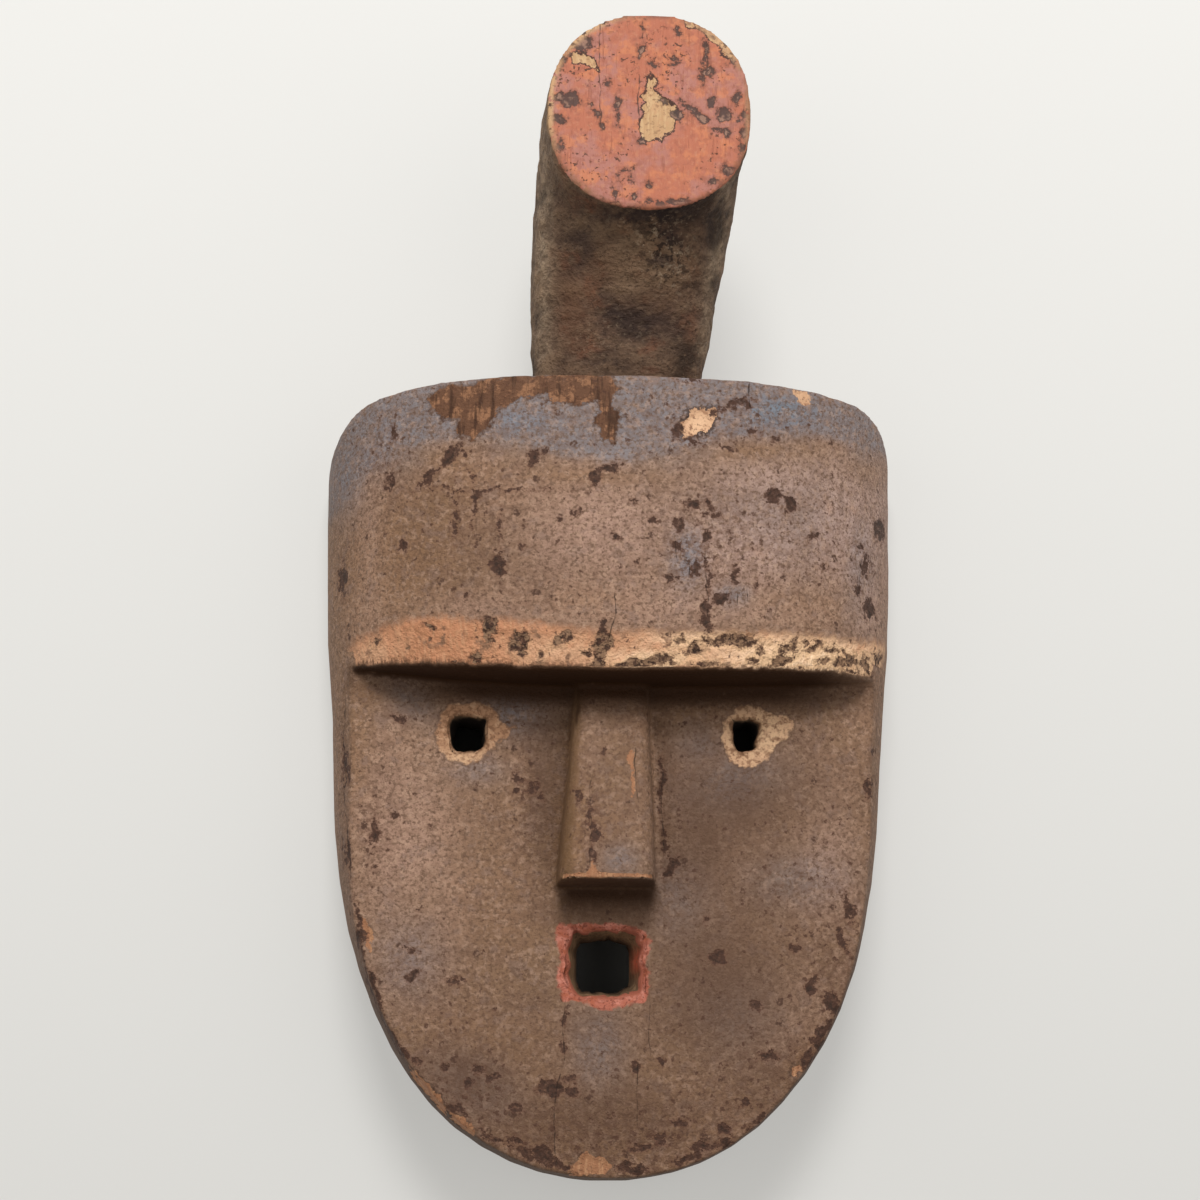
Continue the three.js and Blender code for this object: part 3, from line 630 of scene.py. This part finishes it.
scoops = gouge_cuts(places / SCOOP_SIZE, 71).clip(0, 1) - SCOOP_MIDDLE
raised += ((SCOOP_DEPTH * scoops + 0.15 * lumps(places, 3.0, 72))
           * hollow * eased(z, RIM_FLAT_Z, RIM_FLAT_Z + RIM_FADE))
end_ring = on_end | (post & (z > POST_END_Z - END_RING))
raised = np.where(end_ring, np.minimum(raised, END_RAISED_MOST), raised)

shaped = places + normals * raised[:, None]
for hole in (*EYES, MOUTH):
    gap = beyond_hole(places, hole)
    near = np.exp(-(np.clip(gap, 0, FAR) / HOLE_WOBBLE_REACH) ** 2) * (gap > -4) * (z > 20)
    for axis in range(2):
        wobble = HOLE_WOBBLE * lumps(places / HOLE_STRETCH, 4.6, 91 + axis)
        wobble += HOLE_WOBBLE * 0.5 * lumps(places / HOLE_STRETCH, 2.3, 95 + axis)
        shaped[:, axis] += near * wobble
low, high = (np.array(corner) * PER_METRE for corner in cad_box)
put_back(np.clip(shaped, low, high))

# Colour fields. Each says how strongly a tint, wear, dirt or painted shade lies at a place:
# painted shade in the corners under the brow, beside and under the nose and in the holes,
# and paint worn off the edges.
nose_half = NOSE_HALF_TOP + (NOSE_TOP_Y - y) * NOSE_SPREAD
from_nose = np.abs(x - NOSE_X)
nose_gap = from_nose - nose_half
# Painted shade on the face beside and under the nose and under the brow, and on the nose's root.
beside_nose = np.exp(-np.clip(nose_gap, 0, FAR) / 4) * (y > NOSE_END_Y - 2)
beside_nose *= np.where(x < NOSE_X, nose_gap > -3, nose_gap > 2.5)
below_nose = (1 - eased(NOSE_END_Y - y, 2.5, 12)) * (y < NOSE_END_Y)
below_nose *= 1 - eased(from_nose, 14, 22)
below_brow = (1 - eased(brow_y - y, 3.0, 13.0)) * (0.45 + 0.55 * eased(x, -86, -50))
below_brow *= 1 - 0.75 * eased(x, 60, 98)
on_face = on_mask & (facing_up > 0.45) & (z < face_z + 7) & (y < brow_y + 2)
painted_shade = np.maximum(beside_nose * 0.75, np.maximum(below_nose, below_brow)) * on_face
nose_root = (1 - eased(brow_y - y, 0.5, 15.0)) * (from_nose < NOSE_HALF_TOP + 6) * outside
at_root = (z > face_z - 1) & (y < brow_y) & ~under_ledge
painted_shade = np.where(at_root, np.maximum(painted_shade, 0.9 * nose_root), painted_shade)
# Painted shade on the underside of the brow ledge, fading towards its right end, and under the
# nose.
painted_shade = np.where(under_ledge, 1.0 - 0.7 * eased(x, 72, 104), painted_shade)
under_nose = (facing_head < -0.6) & (np.abs(y - NOSE_END_Y) < 3) & (z > face_z)
painted_shade = np.where(under_nose & on_mask & ~nose_lip, 0.8, painted_shade)
# Painted shade inside the holes, darker the deeper, and lighter near the lip of the mouth.
hole_shade = eased(face_z - z + 0.8 * lumps(places, 3.0, 81), 0.9, 3.2)
wall_light = 0.12 + 0.6 * eased(face_z - z, 5, 18) + 0.3 * lumps(places, 6.0, 82)
painted_shade = np.where(in_hole, hole_shade * np.where(y < NOSE_END_Y, wall_light, 1.0), painted_shade)

# Painted shade on the nose's left flank.
nose_flank_shade = (x < NOSE_X) & (np.abs(nose_gap) < 3.5) & (np.abs(facing_right) > 0.45)
nose_flank_shade &= (y > NOSE_END_Y) & (y < brow_y) & (z > face_z + 1)
# Painted shade on the side walls towards the chin, darker the more they turn from facing up.
side_wall_shade = eased(-facing_up, -0.72, -0.30) * (y < TOP_CUT_Y - 20) * on_mask
side_wall_shade *= eased(-y, 60, 190) * (z < face_z + 3)
end_edge = np.where(post & (z > POST_END_Z - 5), eased(spread(convex, 2), 0.06, 0.5), 0)
on_post = seen & rough_post
blue_band = 0.7 * eased(deepest(strayed(0.4), [BLUE_BAND]), -2.5, 2.0)

EVENED = {"blue": np.maximum(clouds(spots, CLOUDY_BLUE), blue_band) * on_mask,
          "flank_light": clouds(spots, POST_FLANK_LIGHT) * post, "nose_flank_shade": nose_flank_shade,
          "post_dark_and_shade": clouds(ragged, POST_DARK_AND_SHADE) * on_post,
          "post_red": clouds(ragged, POST_RED) * on_post}
for name, tints in FACE_TINTS.items():
    EVENED[name] = clouds(spots, tints) * on_mask
FIELDS = {"bare": limited(bare, seen), "dark": limited(dark, seen),
          "eye_rim": limited(eye_rims, outside | in_hole),
          "rust": limited(rust, outside), "red": limited(red_ring, outside | in_hole),
          "bevel": limited(brow_bare, on_mask),
          "brow_edge": eased(brow_y + 4.6 - y, 0, 3.2) * on_brow * on_mask,
          "worn": np.maximum(convex, wide_convex * 0.6) * outside,
          "painted_shade": spread(painted_shade, 1), "crust": spread(crust, 1),
          "side_wall_shade": spread(side_wall_shade, 1), "lumpiness": spread(raised, 2) * rough_post,
          "split_side": split_side, "split_open": split_open,
          "end_edge": end_edge, "end_rim": end_edge * clouds(spots, RIM_PALE),
          "outlined": clouds(spots, OUTLINED) * on_mask, "cream": clouds(spots, CREAMY) * on_mask,
          "red_blob": clouds(spots, RED_BLOB) * in_hole,
          **{name: spread(values, 2) for name, values in EVENED.items()}}
for name, values in FIELDS.items():
    carved.attributes.new(name, "FLOAT", "POINT").data.foreach_set(
        "value", values.astype(np.float32))

# Finishes. A layer is laid over those under it, as paint, wear and dirt came to the real mask.
# It shows where all its marks meet: a mark is a field's name, a number, a pattern, or a tuple
# for blotches across the piece (size in millimetres, none, full, most, detail, coarse).
MIX_FACTOR, MIX_UNDER, MIX_OVER = 0, 6, 7
COLOUR_RESULT = 2
GRAIN_STRETCH = (1.0, 0.11, 1.0)
WRINKLE_STRETCH = (0.55, 1.1, 1.0)
FLAKE_SIZE, FLAKE_STRAY = 2.6, 1.5
SPLIT_BREAKS = 3.0
SPECK_WOBBLE, SPECK_SOFT = 1.6, 0.05
SPECK_STRAY = (0.0026, 0.0026, 0.0026)


def paint(code):
    """An sRGB hex colour as the linear values that a shader takes."""
    parts = [int(code[i:i + 2], 16) / 255 for i in (1, 3, 5)]
    return [p / 12.92 if p <= 0.04045 else ((p + 0.055) / 1.055) ** 2.4 for p in parts] + [1]


def add(tree, kind, settings, links, output=0):
    """Adds a node, sets its properties, fills or links its sockets, and gives one output."""
    made = tree.nodes.new("ShaderNode" + kind)
    for name, value in settings.items():
        setattr(made, name, value)
    for name, value in links.items():
        if isinstance(value, bpy.types.NodeSocket):
            tree.links.new(value, made.inputs[name])
        else:
            made.inputs[name].default_value = value
    return made.outputs[output]


def marked(tree, mark):
    """Finds a named field on the mesh, or makes the blotches that a tuple describes."""
    if isinstance(mark, str):
        return add(tree, "Attribute", {"attribute_name": mark}, {}, "Fac")
    if isinstance(mark, tuple):
        return blotches(tree.nodes["Texture Coordinate"].outputs["Object"], *mark)
    return mark


def overlap(tree, first_mark, *marks):
    """Where several marks meet."""
    shared = marked(tree, first_mark)
    for mark in marks:
        shared = add(tree, "Math", {"operation": "MULTIPLY"},
                     {0: shared, 1: marked(tree, mark)})
    return shared


def ramp(tree, mark, none, full, most=1.0):
    """0 up to none, `most` from full, and smooth between."""
    return add(tree, "MapRange", {"interpolation_type": "SMOOTHSTEP"},
               {"Value": marked(tree, mark), "From Min": none, "From Max": full,
                "To Max": most}, "Result")


def blotches(place, size, none, full, most=1.0, detail=3.0, coarse=0.6):
    """Random patches about `size` millimetres across, where the noise passes from none to full."""
    noise = add(place.id_data, "TexNoise", {},
                {"Vector": place, "Scale": PER_METRE / size, "Detail": detail,
                 "Roughness": coarse}, "Fac")
    return ramp(place.id_data, noise, none, full, most)


def patch(wander, name, none, full, most=1.0):
    """The inside of a mark kept on the mesh, its edge wandering by `wander` millimetres."""
    tree = wander.id_data
    depth = add(tree, "Math", {"operation": "ADD"}, {0: marked(tree, name), 1: wander})
    return ramp(tree, depth, none, full, most)


def lay(tree, ground, layers):
    """Lays (marks, colour) layers over a ground colour, first to last."""
    colour = paint(ground)
    for *marks, tint in layers:
        tint = paint(tint) if isinstance(tint, str) else tint
        colour = add(tree, "Mix", {"data_type": "RGBA"},
                     {MIX_FACTOR: overlap(tree, *marks), MIX_UNDER: colour, MIX_OVER: tint},
                     COLOUR_RESULT)
    return colour


def relief(tree, layers):
    """Adds up (mark, millimetres raised) layers into one height."""
    height = 0.0
    for mark, lift in layers:
        height = add(tree, "Math", {"operation": "MULTIPLY_ADD"},
                     {0: marked(tree, mark), 1: lift, 2: height})
    return height


def start_finish(name):
    """A new material's node tree, with places on the object and along the grain."""
    material = bpy.data.materials.new(name)
    material.use_nodes = True
    tree = material.node_tree
    tree.nodes.clear()
    place = add(tree, "TexCoord", {}, {}, "Object")
    grain = add(tree, "Mapping", {"vector_type": "POINT"},
                {"Vector": place, "Scale": GRAIN_STRETCH})
    return material, tree, place, grain


def end_finish(tree, colour, roughness, height, specular):
    """Joins the laid colour, roughness and height to the surface."""
    bumps = add(tree, "Bump", {}, {"Strength": 1.0, "Distance": 1.0,
                                             "Height": overlap(tree, height, 1 / PER_METRE)})
    surface = add(tree, "BsdfPrincipled", {},
                  {"Base Color": colour, "Roughness": roughness, "Normal": bumps,
                   "Specular IOR Level": specular})
    output = tree.nodes.new("ShaderNodeOutputMaterial")
    tree.links.new(surface, output.inputs["Surface"])


def wandering(place):
    """Millimetres by which a mark's edge strays, from noise as fine as a flake of paint."""
    noise = add(place.id_data, "TexNoise", {},
                {"Vector": place, "Scale": PER_METRE / FLAKE_SIZE, "Detail": 3.0,
                 "Roughness": 0.75}, "Fac")
    return add(place.id_data, "MapRange", {},
               {"Value": noise, "From Min": 0.2, "From Max": 0.8,
                "To Min": -FLAKE_STRAY, "To Max": FLAKE_STRAY}, "Result")


def split_lines(place):
    """The thin dark lines of the splits, no wider than a quarter of a millimetre and broken."""
    tree = place.id_data
    side = add(tree, "Math", {"operation": "ABSOLUTE"}, {0: marked(tree, "split_side")})
    width = overlap(tree, "split_open", blotches(place, SPLIT_BREAKS, 0.36, 0.64, 0.5, 1.0))
    inside = add(tree, "Math", {"operation": "SUBTRACT"}, {0: width, 1: side})
    present = add(tree, "Math", {"operation": "GREATER_THAN"},
                  {0: marked(tree, "split_open"), 1: 0.03})
    return overlap(tree, ramp(tree, inside, -0.18, 0.16), present)


def specks(place, gap, rare, growth, crowding):
    """Round flecks about `gap` millimetres apart, larger and closer where the mesh says so."""
    tree = place.id_data
    noise = add(tree, "TexNoise", {},
                {"Vector": place, "Scale": PER_METRE / SPECK_WOBBLE, "Detail": 1.0}, "Color")
    strayed_place = add(tree, "VectorMath", {"operation": "MULTIPLY_ADD"},
                        {0: noise, 1: SPECK_STRAY, 2: place})
    distance = add(tree, "TexVoronoi", {},
                   {"Scale": PER_METRE / gap, "Vector": strayed_place}, "Distance")
    luck = add(tree, "SeparateColor", {},
               {"Color": distance.node.outputs["Color"]}, "Red")
    crowded = add(tree, "Math", {"operation": "MULTIPLY_ADD"},
                  {0: marked(tree, "specks"), 1: crowding, 2: luck})
    grown = add(tree, "Math", {"operation": "SUBTRACT"}, {0: crowded, 1: rare})
    inside = add(tree, "Math", {"operation": "MULTIPLY_ADD"},
                 {0: grown, 1: growth, 2: overlap(tree, distance, -1.0)})
    return ramp(tree, inside, -SPECK_SOFT, SPECK_SOFT)


# Old brown paint on carved hardwood, brushed on by hand and worn for many years: earthy and
# matt, pinkish brown over a darker coat, peppered with specks where flakes have gone.
painted, tree, place, grain = start_finish("old_brown_paint_on_carved_wood")
wander = wandering(place)
mottle = blotches(place, 3.4, 0.36, 0.66, 1, 4, 0.72)
grit = overlap(tree, (3.2, 0.44, 0.6, 1, 4, 0.72), "specks")
ragged_specks = blotches(place, 1.3, 0.34, 0.56, 1, 2)
flecks = overlap(tree, specks(place, 7, 0.62, 0.5, 0.34), ragged_specks)
fine_flecks = overlap(tree, specks(place, 2.9, 0.42, 0.46, 0.55), ragged_specks)
rubbed = overlap(tree, (5, 0.4, 0.62, 1, 2), "worn")
bevel = patch(wander, "bevel", -2.2, 2.6)
bevel_paint = overlap(tree, patch(wander, "bevel", -2.2, 1.2), (6.5, 0.56, 0.62))
rust = patch(wander, "rust", -0.4, 0.2)
rim = patch(wander, "eye_rim", -0.8, 0.6)
stain = patch(wander, "dark", -0.3, 0.2)
stain_heart = overlap(tree, patch(wander, "dark", 0.1, 1), (1.9, 0.42, 0.62, 1, 2))
flaked = patch(wander, "bare", -0.15, 0.25)
lines = split_lines(place)
bared = lay(tree, "#b8805e", [
    ("cream", "#ffdab4"),
    (blotches(grain, 1.5, 0.46, 0.64, 0.3), "#d6a983"),
    ((9, 0.5, 0.66, 0.5), "#c88c68"),
    ((1.9, 0.52, 0.66, 0.55), "#a97a58"),
    ("brow_edge", blotches(grain, 1.1, 0.46, 0.55, 0.85), "#5b4130"),
])
chipped = lay(tree, "#9a6c4e", [
    (blotches(grain, 1.6, 0.44, 0.64, 0.6), "#ba8e6a"),
    ("cream", "#dcb38f"),
    ((2.4, 0.5, 0.66, 0.7), "#946a4e"),
    ((1.2, 0.56, 0.66, 0.7), "#6b4733"),
])
eye_wood = lay(tree, "#aa8061", [
    ("cream", 0.9, "#e0bc96"),
    ((2, 0.44, 0.62, 0.8), "#7e5a42"),
    ((3.6, 0.5, 0.64, 0.7), "#c79f7e"),
    ((1.1, 0.56, 0.66, 0.7), "#684632"),
])
red_paint = lay(tree, "#ab6350", [
    ((3, 0.46, 0.62, 0.9), "#c27c6a"),
    ((4.5, 0.5, 0.62, 0.8), "#a0553c"),
    ((1.3, 0.54, 0.64, 0.8), "#753d2f"),
])
colour = lay(tree, "#886a52", [
    ((26, 0.42, 0.62, 0.7, 2), "#94735c"),
    ((10, 0.46, 0.62, 0.6), "#7f6250"),
    ("lighter", "#bc9987"),
    ("ochre", "#8f6b4a"),
    ((2.4, 0.48, 0.64, 0.4), "#b19078"),
    ("blue", (7, 0.12, 0.46), "#777b84"),
    (ramp(tree, "blue", 0.95, 1.4, 0.75), "#707c88"),
    (mottle, 0.5, "#6c503e"),
    ((5.5, 0.54, 0.66, 0.5), "#846c60"),
    ((2.4, 0.5, 0.66, 0.35), "#ab8c77"),
    ("specks", (2.9, 0.5, 0.62, 0.5, 4), "#ad8b76"),
    ((1.3, 0.48, 0.64, 0.7), "#5e4636"),
    (grit, 0.75, "#583b2e"),
    ("darker", 0.8, "#5a4233"),
    # Painted shade on the nose's left flank.
    ("nose_flank_shade", 0.75, "#6a4f36"),
    # Painted shade on the side walls towards the chin.
    ("side_wall_shade", 0.7, "#42332a"),
    (patch(wander, "rust", -1.5, -0.3, 0.6), "#4a3428"),
    (rust, "#634431"),
    (rust, (6, 0.5, 0.6, 0.85, 4, 0.7), "#93694c"),
    (rust, blotches(grain, 4, 0.5, 0.62, 0.85, 4, 0.7), "#3a2518"),
    (rust, (1.4, 0.5, 0.66, 0.5), "#45291d"),
    (patch(wander, "eye_rim", -1.6, -0.7), 0.5, "#563f33"),
    (bevel, bared),
    (bevel_paint, (5, 0.42, 0.66, 0.9), "#80604b"),
    (fine_flecks, 0.85, "#4f3529"),
    (flecks, 0.9, "#4b3429"),
    (rubbed, mottle, 0.5, "#9a7760"),
    (patch(wander, "bare", -1.5, -0.5), "outlined", "#38271f"),
    (bevel, "cream", patch(wander, "dark", -1.9, -0.8, 0.75), "#e4bb90"),
    (flaked, chipped),
    (rim, eye_wood),
    (patch(wander, "dark", -1.1, 0.3, 0.5), "#684738"),
    (stain, (2.2, 0.24, 0.5, 0.95), "#483127"),
    (stain_heart, "#382820"),
    (bevel, stain, (2, 0.46, 0.57, 0.8), "#94745a"),
    (patch(wander, "red", -0.3, 1.1), 0.92, red_paint),
    # Painted shade under the brow, beside and under the nose, and in the holes.
    ("painted_shade", (7, 0, 0.36, 1, 2), "#311a07"),
    (lines, 0.8, "#2c1e16"),
])
height = relief(tree, [
    (mottle, 0.18), ((0.9, 0.2, 0.8, 1, 1.5), 0.16),
    (overlap(tree, bevel, (2.4, 0.3, 0.7, 1, 2)), 0.35), (stain, -0.14),
])
end_finish(tree, colour, 0.7, height, 0.18)

# Dark weathered wood of the post, never smoothed: soot-brown and lumpy like bark, with painted
# highlights on the high places, painted shade between them, and painted light on a smoother flank.
weathered, tree, place, grain = start_finish("dark_weathered_wood")
wrinkled = add(tree, "Mapping", {"vector_type": "POINT"},
               {"Vector": place, "Scale": WRINKLE_STRETCH})
wrinkles = blotches(wrinkled, 4.2, 0.36, 0.66, 1, 4)
pits = blotches(place, 2, 0.6, 0.68, 1, 2)
colour = lay(tree, "#66503f", [
    ((16, 0.45, 0.62, 0.8), "#6c5241"),
    ((12, 0.52, 0.66, 0.8), "#704a36"),
    # Painted light on the post's flanks.
    ("flank_light", 0.95, "#a48e76"),
    (wrinkles, 0.6, "#443228"),
    # Painted highlights on the high places of the lumps and painted shade in the hollows between
    # them.
    (ramp(tree, "lumpiness", 0.1, 0.7, 0.5), "#866c54"),
    (ramp(tree, "lumpiness", -0.05, -0.6, 0.8), "#2b2019"),
    (blotches(wrinkled, 2.2, 0.52, 0.68, 0.4), "#7c6450"),
    ((1.5, 0.52, 0.66, 0.4), "#3d2e24"),
    (pits, 0.4, "#2c2018"),
    ("crust", (3, 0.48, 0.58, 0.85), "#241a14"),
    ("crust", (1.8, 0.56, 0.64, 0.8), "#9b8670"),
    ("post_red", 0.7, "#65442f"),
    # Dark patches, with painted shadow under the end's overhang.
    ("post_dark_and_shade", (8, 0.3, 0.56, 0.9), "#2a2021"),
    ("end_rim", (3, 0.35, 0.55), "#a98762"),
])
height = relief(tree, [(wrinkles, -0.3), (pits, -0.15), ((1.5, 0.25, 0.75), 0.35)])
end_finish(tree, colour, 0.85, height, 0.2)

# Flaking red paint on the sawn end of the post: chalky brick red over end grain, lilac where
# it has thinned, chipped down to pale wood, and rubbed through round the rim.
red_end, tree, place, grain = start_finish("flaking_red_paint_on_end_grain")
wander = wandering(place)
bare_edge = add(tree, "Math", {"operation": "SUBTRACT"},
                {0: patch(wander, "bare", -0.9, -0.4), 1: patch(wander, "bare", 0.0, 0.3)})
flaked = patch(wander, "dark", -0.4, 0.35)
flake_heart = overlap(tree, patch(wander, "dark", 0.6, 1), (7, 0.46, 0.56))
pitted = overlap(tree, (1.5, 0.6, 0.66, 1, 2), (13, 0.44, 0.6, 1, 1))
saw_lines = blotches(grain, 1.5, 0.6, 0.7)
end_wood = lay(tree, "#b68f66", [
    (blotches(grain, 1.6, 0.42, 0.64, 0.6), "#cdab80"),
    ((3, 0.5, 0.64, 0.8), "#bb9068"),
    ((1.4, 0.54, 0.66, 0.7), "#8c6848"),
])
colour = lay(tree, "#ad664c", [
    ((17, 0.44, 0.58, 0.65), "#a4726a"),
    ((7, 0.5, 0.62, 0.8), "#bf7550"),
    ((2.6, 0.5, 0.64, 0.5), "#955542"),
    ((1.6, 0.54, 0.66, 0.4), "#b98062"),
    (saw_lines, 0.5, "#8a5140"),
    (pitted, "#5e3a2c"),
    (patch(wander, "dark", -1.6, 0.2, 0.6), "#85513f"),
    (bare_edge, "#44291e"),
    (patch(wander, "bare", 0, 0.35), end_wood),
    (flaked, 0.9, "#43302a"),
    (flake_heart, "#8d6a58"),
    ("end_edge", (3.5, 0.36, 0.56, 0.8), "#7d4f3e"),
    ("end_rim", (3.5, 0.32, 0.46), "#c79f76"),
    ("end_rim", (2.4, 0.54, 0.62), "#4a3226"),
    (split_lines(place), 0.85, "#42281e"),
])
height = relief(tree, [(saw_lines, -0.08), (pitted, -0.12), (flaked, -0.12),
                       (blotches(grain, 1.1, 0.3, 0.7, 1, 2), 0.12)])
end_finish(tree, colour, 0.62, height, 0.3)

# Bare tooled wood of the hollow and inside the holes: unpainted, browned by handling and
# smoke, with the grain running down the mask and the gouge's ridges a little polished.
tooled, tree, place, grain = start_finish("bare_tooled_wood")
wander = wandering(place)
streaks = blotches(grain, 2.6, 0.42, 0.64)
fine_streaks = blotches(grain, 1, 0.5, 0.68, 1, 2)
colour = lay(tree, "#86684c", [
    ((30, 0.45, 0.62, 0.8), "#6e543e"),
    (streaks, 0.7, "#997a5a"),
    (fine_streaks, 0.6, "#5b4330"),
    ((4, 0.6, 0.7, 0.6), "#4d392b"),
    # Painted shade deep inside the eye and mouth holes.
    ("painted_shade", "#1c120b"),
    ("red_blob", (3, 0.25, 0.5), "#b4553c"),
    (patch(wander, "red", 0.2, 1.4), 0.85, "#a35b48"),
])
height = relief(tree, [(streaks, 0.06), (fine_streaks, -0.1),
                       (blotches(grain, 1.2, 0.3, 0.7, 1, 2), 0.14)])
end_finish(tree, colour, 0.75, height, 0.25)

# Each face takes the finish of the place it lies in, and the sides and the hollow, which have
# the fewest small marks, give up faces so that the whole mask stays light enough to use.
TRIANGLES_KEPT = 194000
PLAINER_BELOW = 0.2

carved.materials.clear()
for finish in (painted, weathered, red_end, tooled):
    carved.materials.append(finish)
loops = read(carved.loops, "vertex_index")
starts = read(carved.polygons, "loop_start")
sizes = read(carved.polygons, "loop_total")


def mostly(where):
    """Faces with more than half of their corners there."""
    return np.add.reduceat(where[loops].astype(float), starts) / sizes > 0.5


finish_of = np.zeros(len(starts), np.int32)
for slot, where in enumerate((post, post_end, hollow | in_hole), 1):
    finish_of[mostly(where)] = slot
carved.polygons.foreach_set("material_index", finish_of)

plainer = mask.vertex_groups.new(name="plainer")
plain_places = ~seen | (facing_out < PLAINER_BELOW)
plainer.add([int(i) for i in np.flatnonzero(plain_places)], 1.0, "REPLACE")
triangles = int((sizes - 2).sum())
thin = mask.modifiers.new("fewer_faces_where_plainer", "DECIMATE")
thin.ratio = min(1.0, TRIANGLES_KEPT / triangles)
thin.vertex_group = plainer.name
lighter_mesh = freeze(mask)
mask.vertex_groups.clear()
lighter_mesh.shade_smooth()
lighter_mesh.name = "carved_wooden_mask"

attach(mask, "root")
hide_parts("carved_mask")

# Floor and light, as in a plain studio: a pale board lit from inside like a light table, so that
# shadows on it stay faint, but not where the mask covers it. A soft window stands above the
# head, with weak fill from both sides.
FLOOR_REACH = 3.0
FLOOR_DROP = 0.0004
FOOT_Z = 8.0
FOOT_MIDDLE = np.array((0.0, -60.0))
FOOT_SECTORS = 72
FOOT_INSET = 0.95
# The board glows more towards the head than the chin: painted light, brighter on the window's
# side.
GLOW_CHIN_Y, GLOW_TOP_Y = -0.30, 0.30
GLOW_AT_CHIN, GLOW_AT_TOP = 0.340, 0.500
BOARD_ROUGHNESS = 0.9

foot = places[(z < FOOT_Z) & ~post, :2] - FOOT_MIDDLE
sector = (np.arctan2(foot[:, 1], foot[:, 0]) / math.tau % 1 * FOOT_SECTORS).astype(int)
reach = np.zeros(FOOT_SECTORS)
np.maximum.at(reach, sector, np.linalg.norm(foot, axis=1))
turns = (np.arange(FOOT_SECTORS) + 0.5) / FOOT_SECTORS * math.tau
around = np.stack([np.cos(turns), np.sin(turns)], 1)
inner = (FOOT_MIDDLE + around * reach[:, None] * FOOT_INSET) / PER_METRE
corners = [(across, along, -FLOOR_DROP) for across, along in [*inner, *(around * FLOOR_REACH)]]
ring = [(i, i + FOOT_SECTORS, (i + 1) % FOOT_SECTORS + FOOT_SECTORS, (i + 1) % FOOT_SECTORS)
        for i in range(FOOT_SECTORS)]
floor_mesh = bpy.data.meshes.new("floor")
floor_mesh.from_pydata(corners, [], [*ring, tuple(range(FOOT_SECTORS))])
floor = bpy.data.objects.new("floor", floor_mesh)
scene.collection.objects.link(floor)
for name in ("pale_matt_board", "pale_matt_board_in_shade"):
    board = bpy.data.materials.new(name)
    board.use_nodes = True
    board.cycles.emission_sampling = "NONE"
    surface = board.node_tree.nodes["Principled BSDF"].inputs
    surface["Base Color"].default_value = paint("#969592")
    surface["Roughness"].default_value = BOARD_ROUGHNESS
    floor_mesh.materials.append(board)
floor_mesh.polygons[-1].material_index = 1
tree = floor_mesh.materials[0].node_tree
surface = tree.nodes["Principled BSDF"].inputs
surface["Emission Color"].default_value = paint("#fffefa")
place = add(tree, "TexCoord", {}, {}, "Object")
along = add(tree, "SeparateXYZ", {}, {"Vector": place}, "Y")
glow = add(tree, "MapRange", {},
           {"Value": along, "From Min": GLOW_CHIN_Y, "From Max": GLOW_TOP_Y,
            "To Min": GLOW_AT_CHIN, "To Max": GLOW_AT_TOP}, "Result")
tree.links.new(glow, surface["Emission Strength"])

LIGHTS_AIM = Vector((0, 0, 0.03))
LIGHTS = {"window": ((-0.03, 1.40, 1.85), 0.8, 43.0, "#ffffff"),
          "left_fill": ((-1.4, -0.2, 1.5), 2.0, 11.0, "#fffdf8"),
          "right_fill": ((1.4, -0.2, 1.5), 2.0, 12.0, "#fffdfa")}
for name, (spot, side, watts, tint) in LIGHTS.items():
    lamp = bpy.data.lights.new(name, "AREA")
    lamp.size = side
    lamp.energy = watts
    lamp.color = paint(tint)[:3]
    source = bpy.data.objects.new(name, lamp)
    source.location = spot
    source.rotation_euler = (LIGHTS_AIM - Vector(spot)).to_track_quat("-Z", "Y").to_euler()
    scene.collection.objects.link(source)
SKY_STRENGTH = 0.30
world = bpy.data.worlds.new("studio")
world.use_nodes = True
sky = world.node_tree.nodes["Background"].inputs
sky["Color"].default_value = paint("#f8f6f2")
sky["Strength"].default_value = SKY_STRENGTH
scene.world = world
scene.view_settings.view_transform = "Standard"
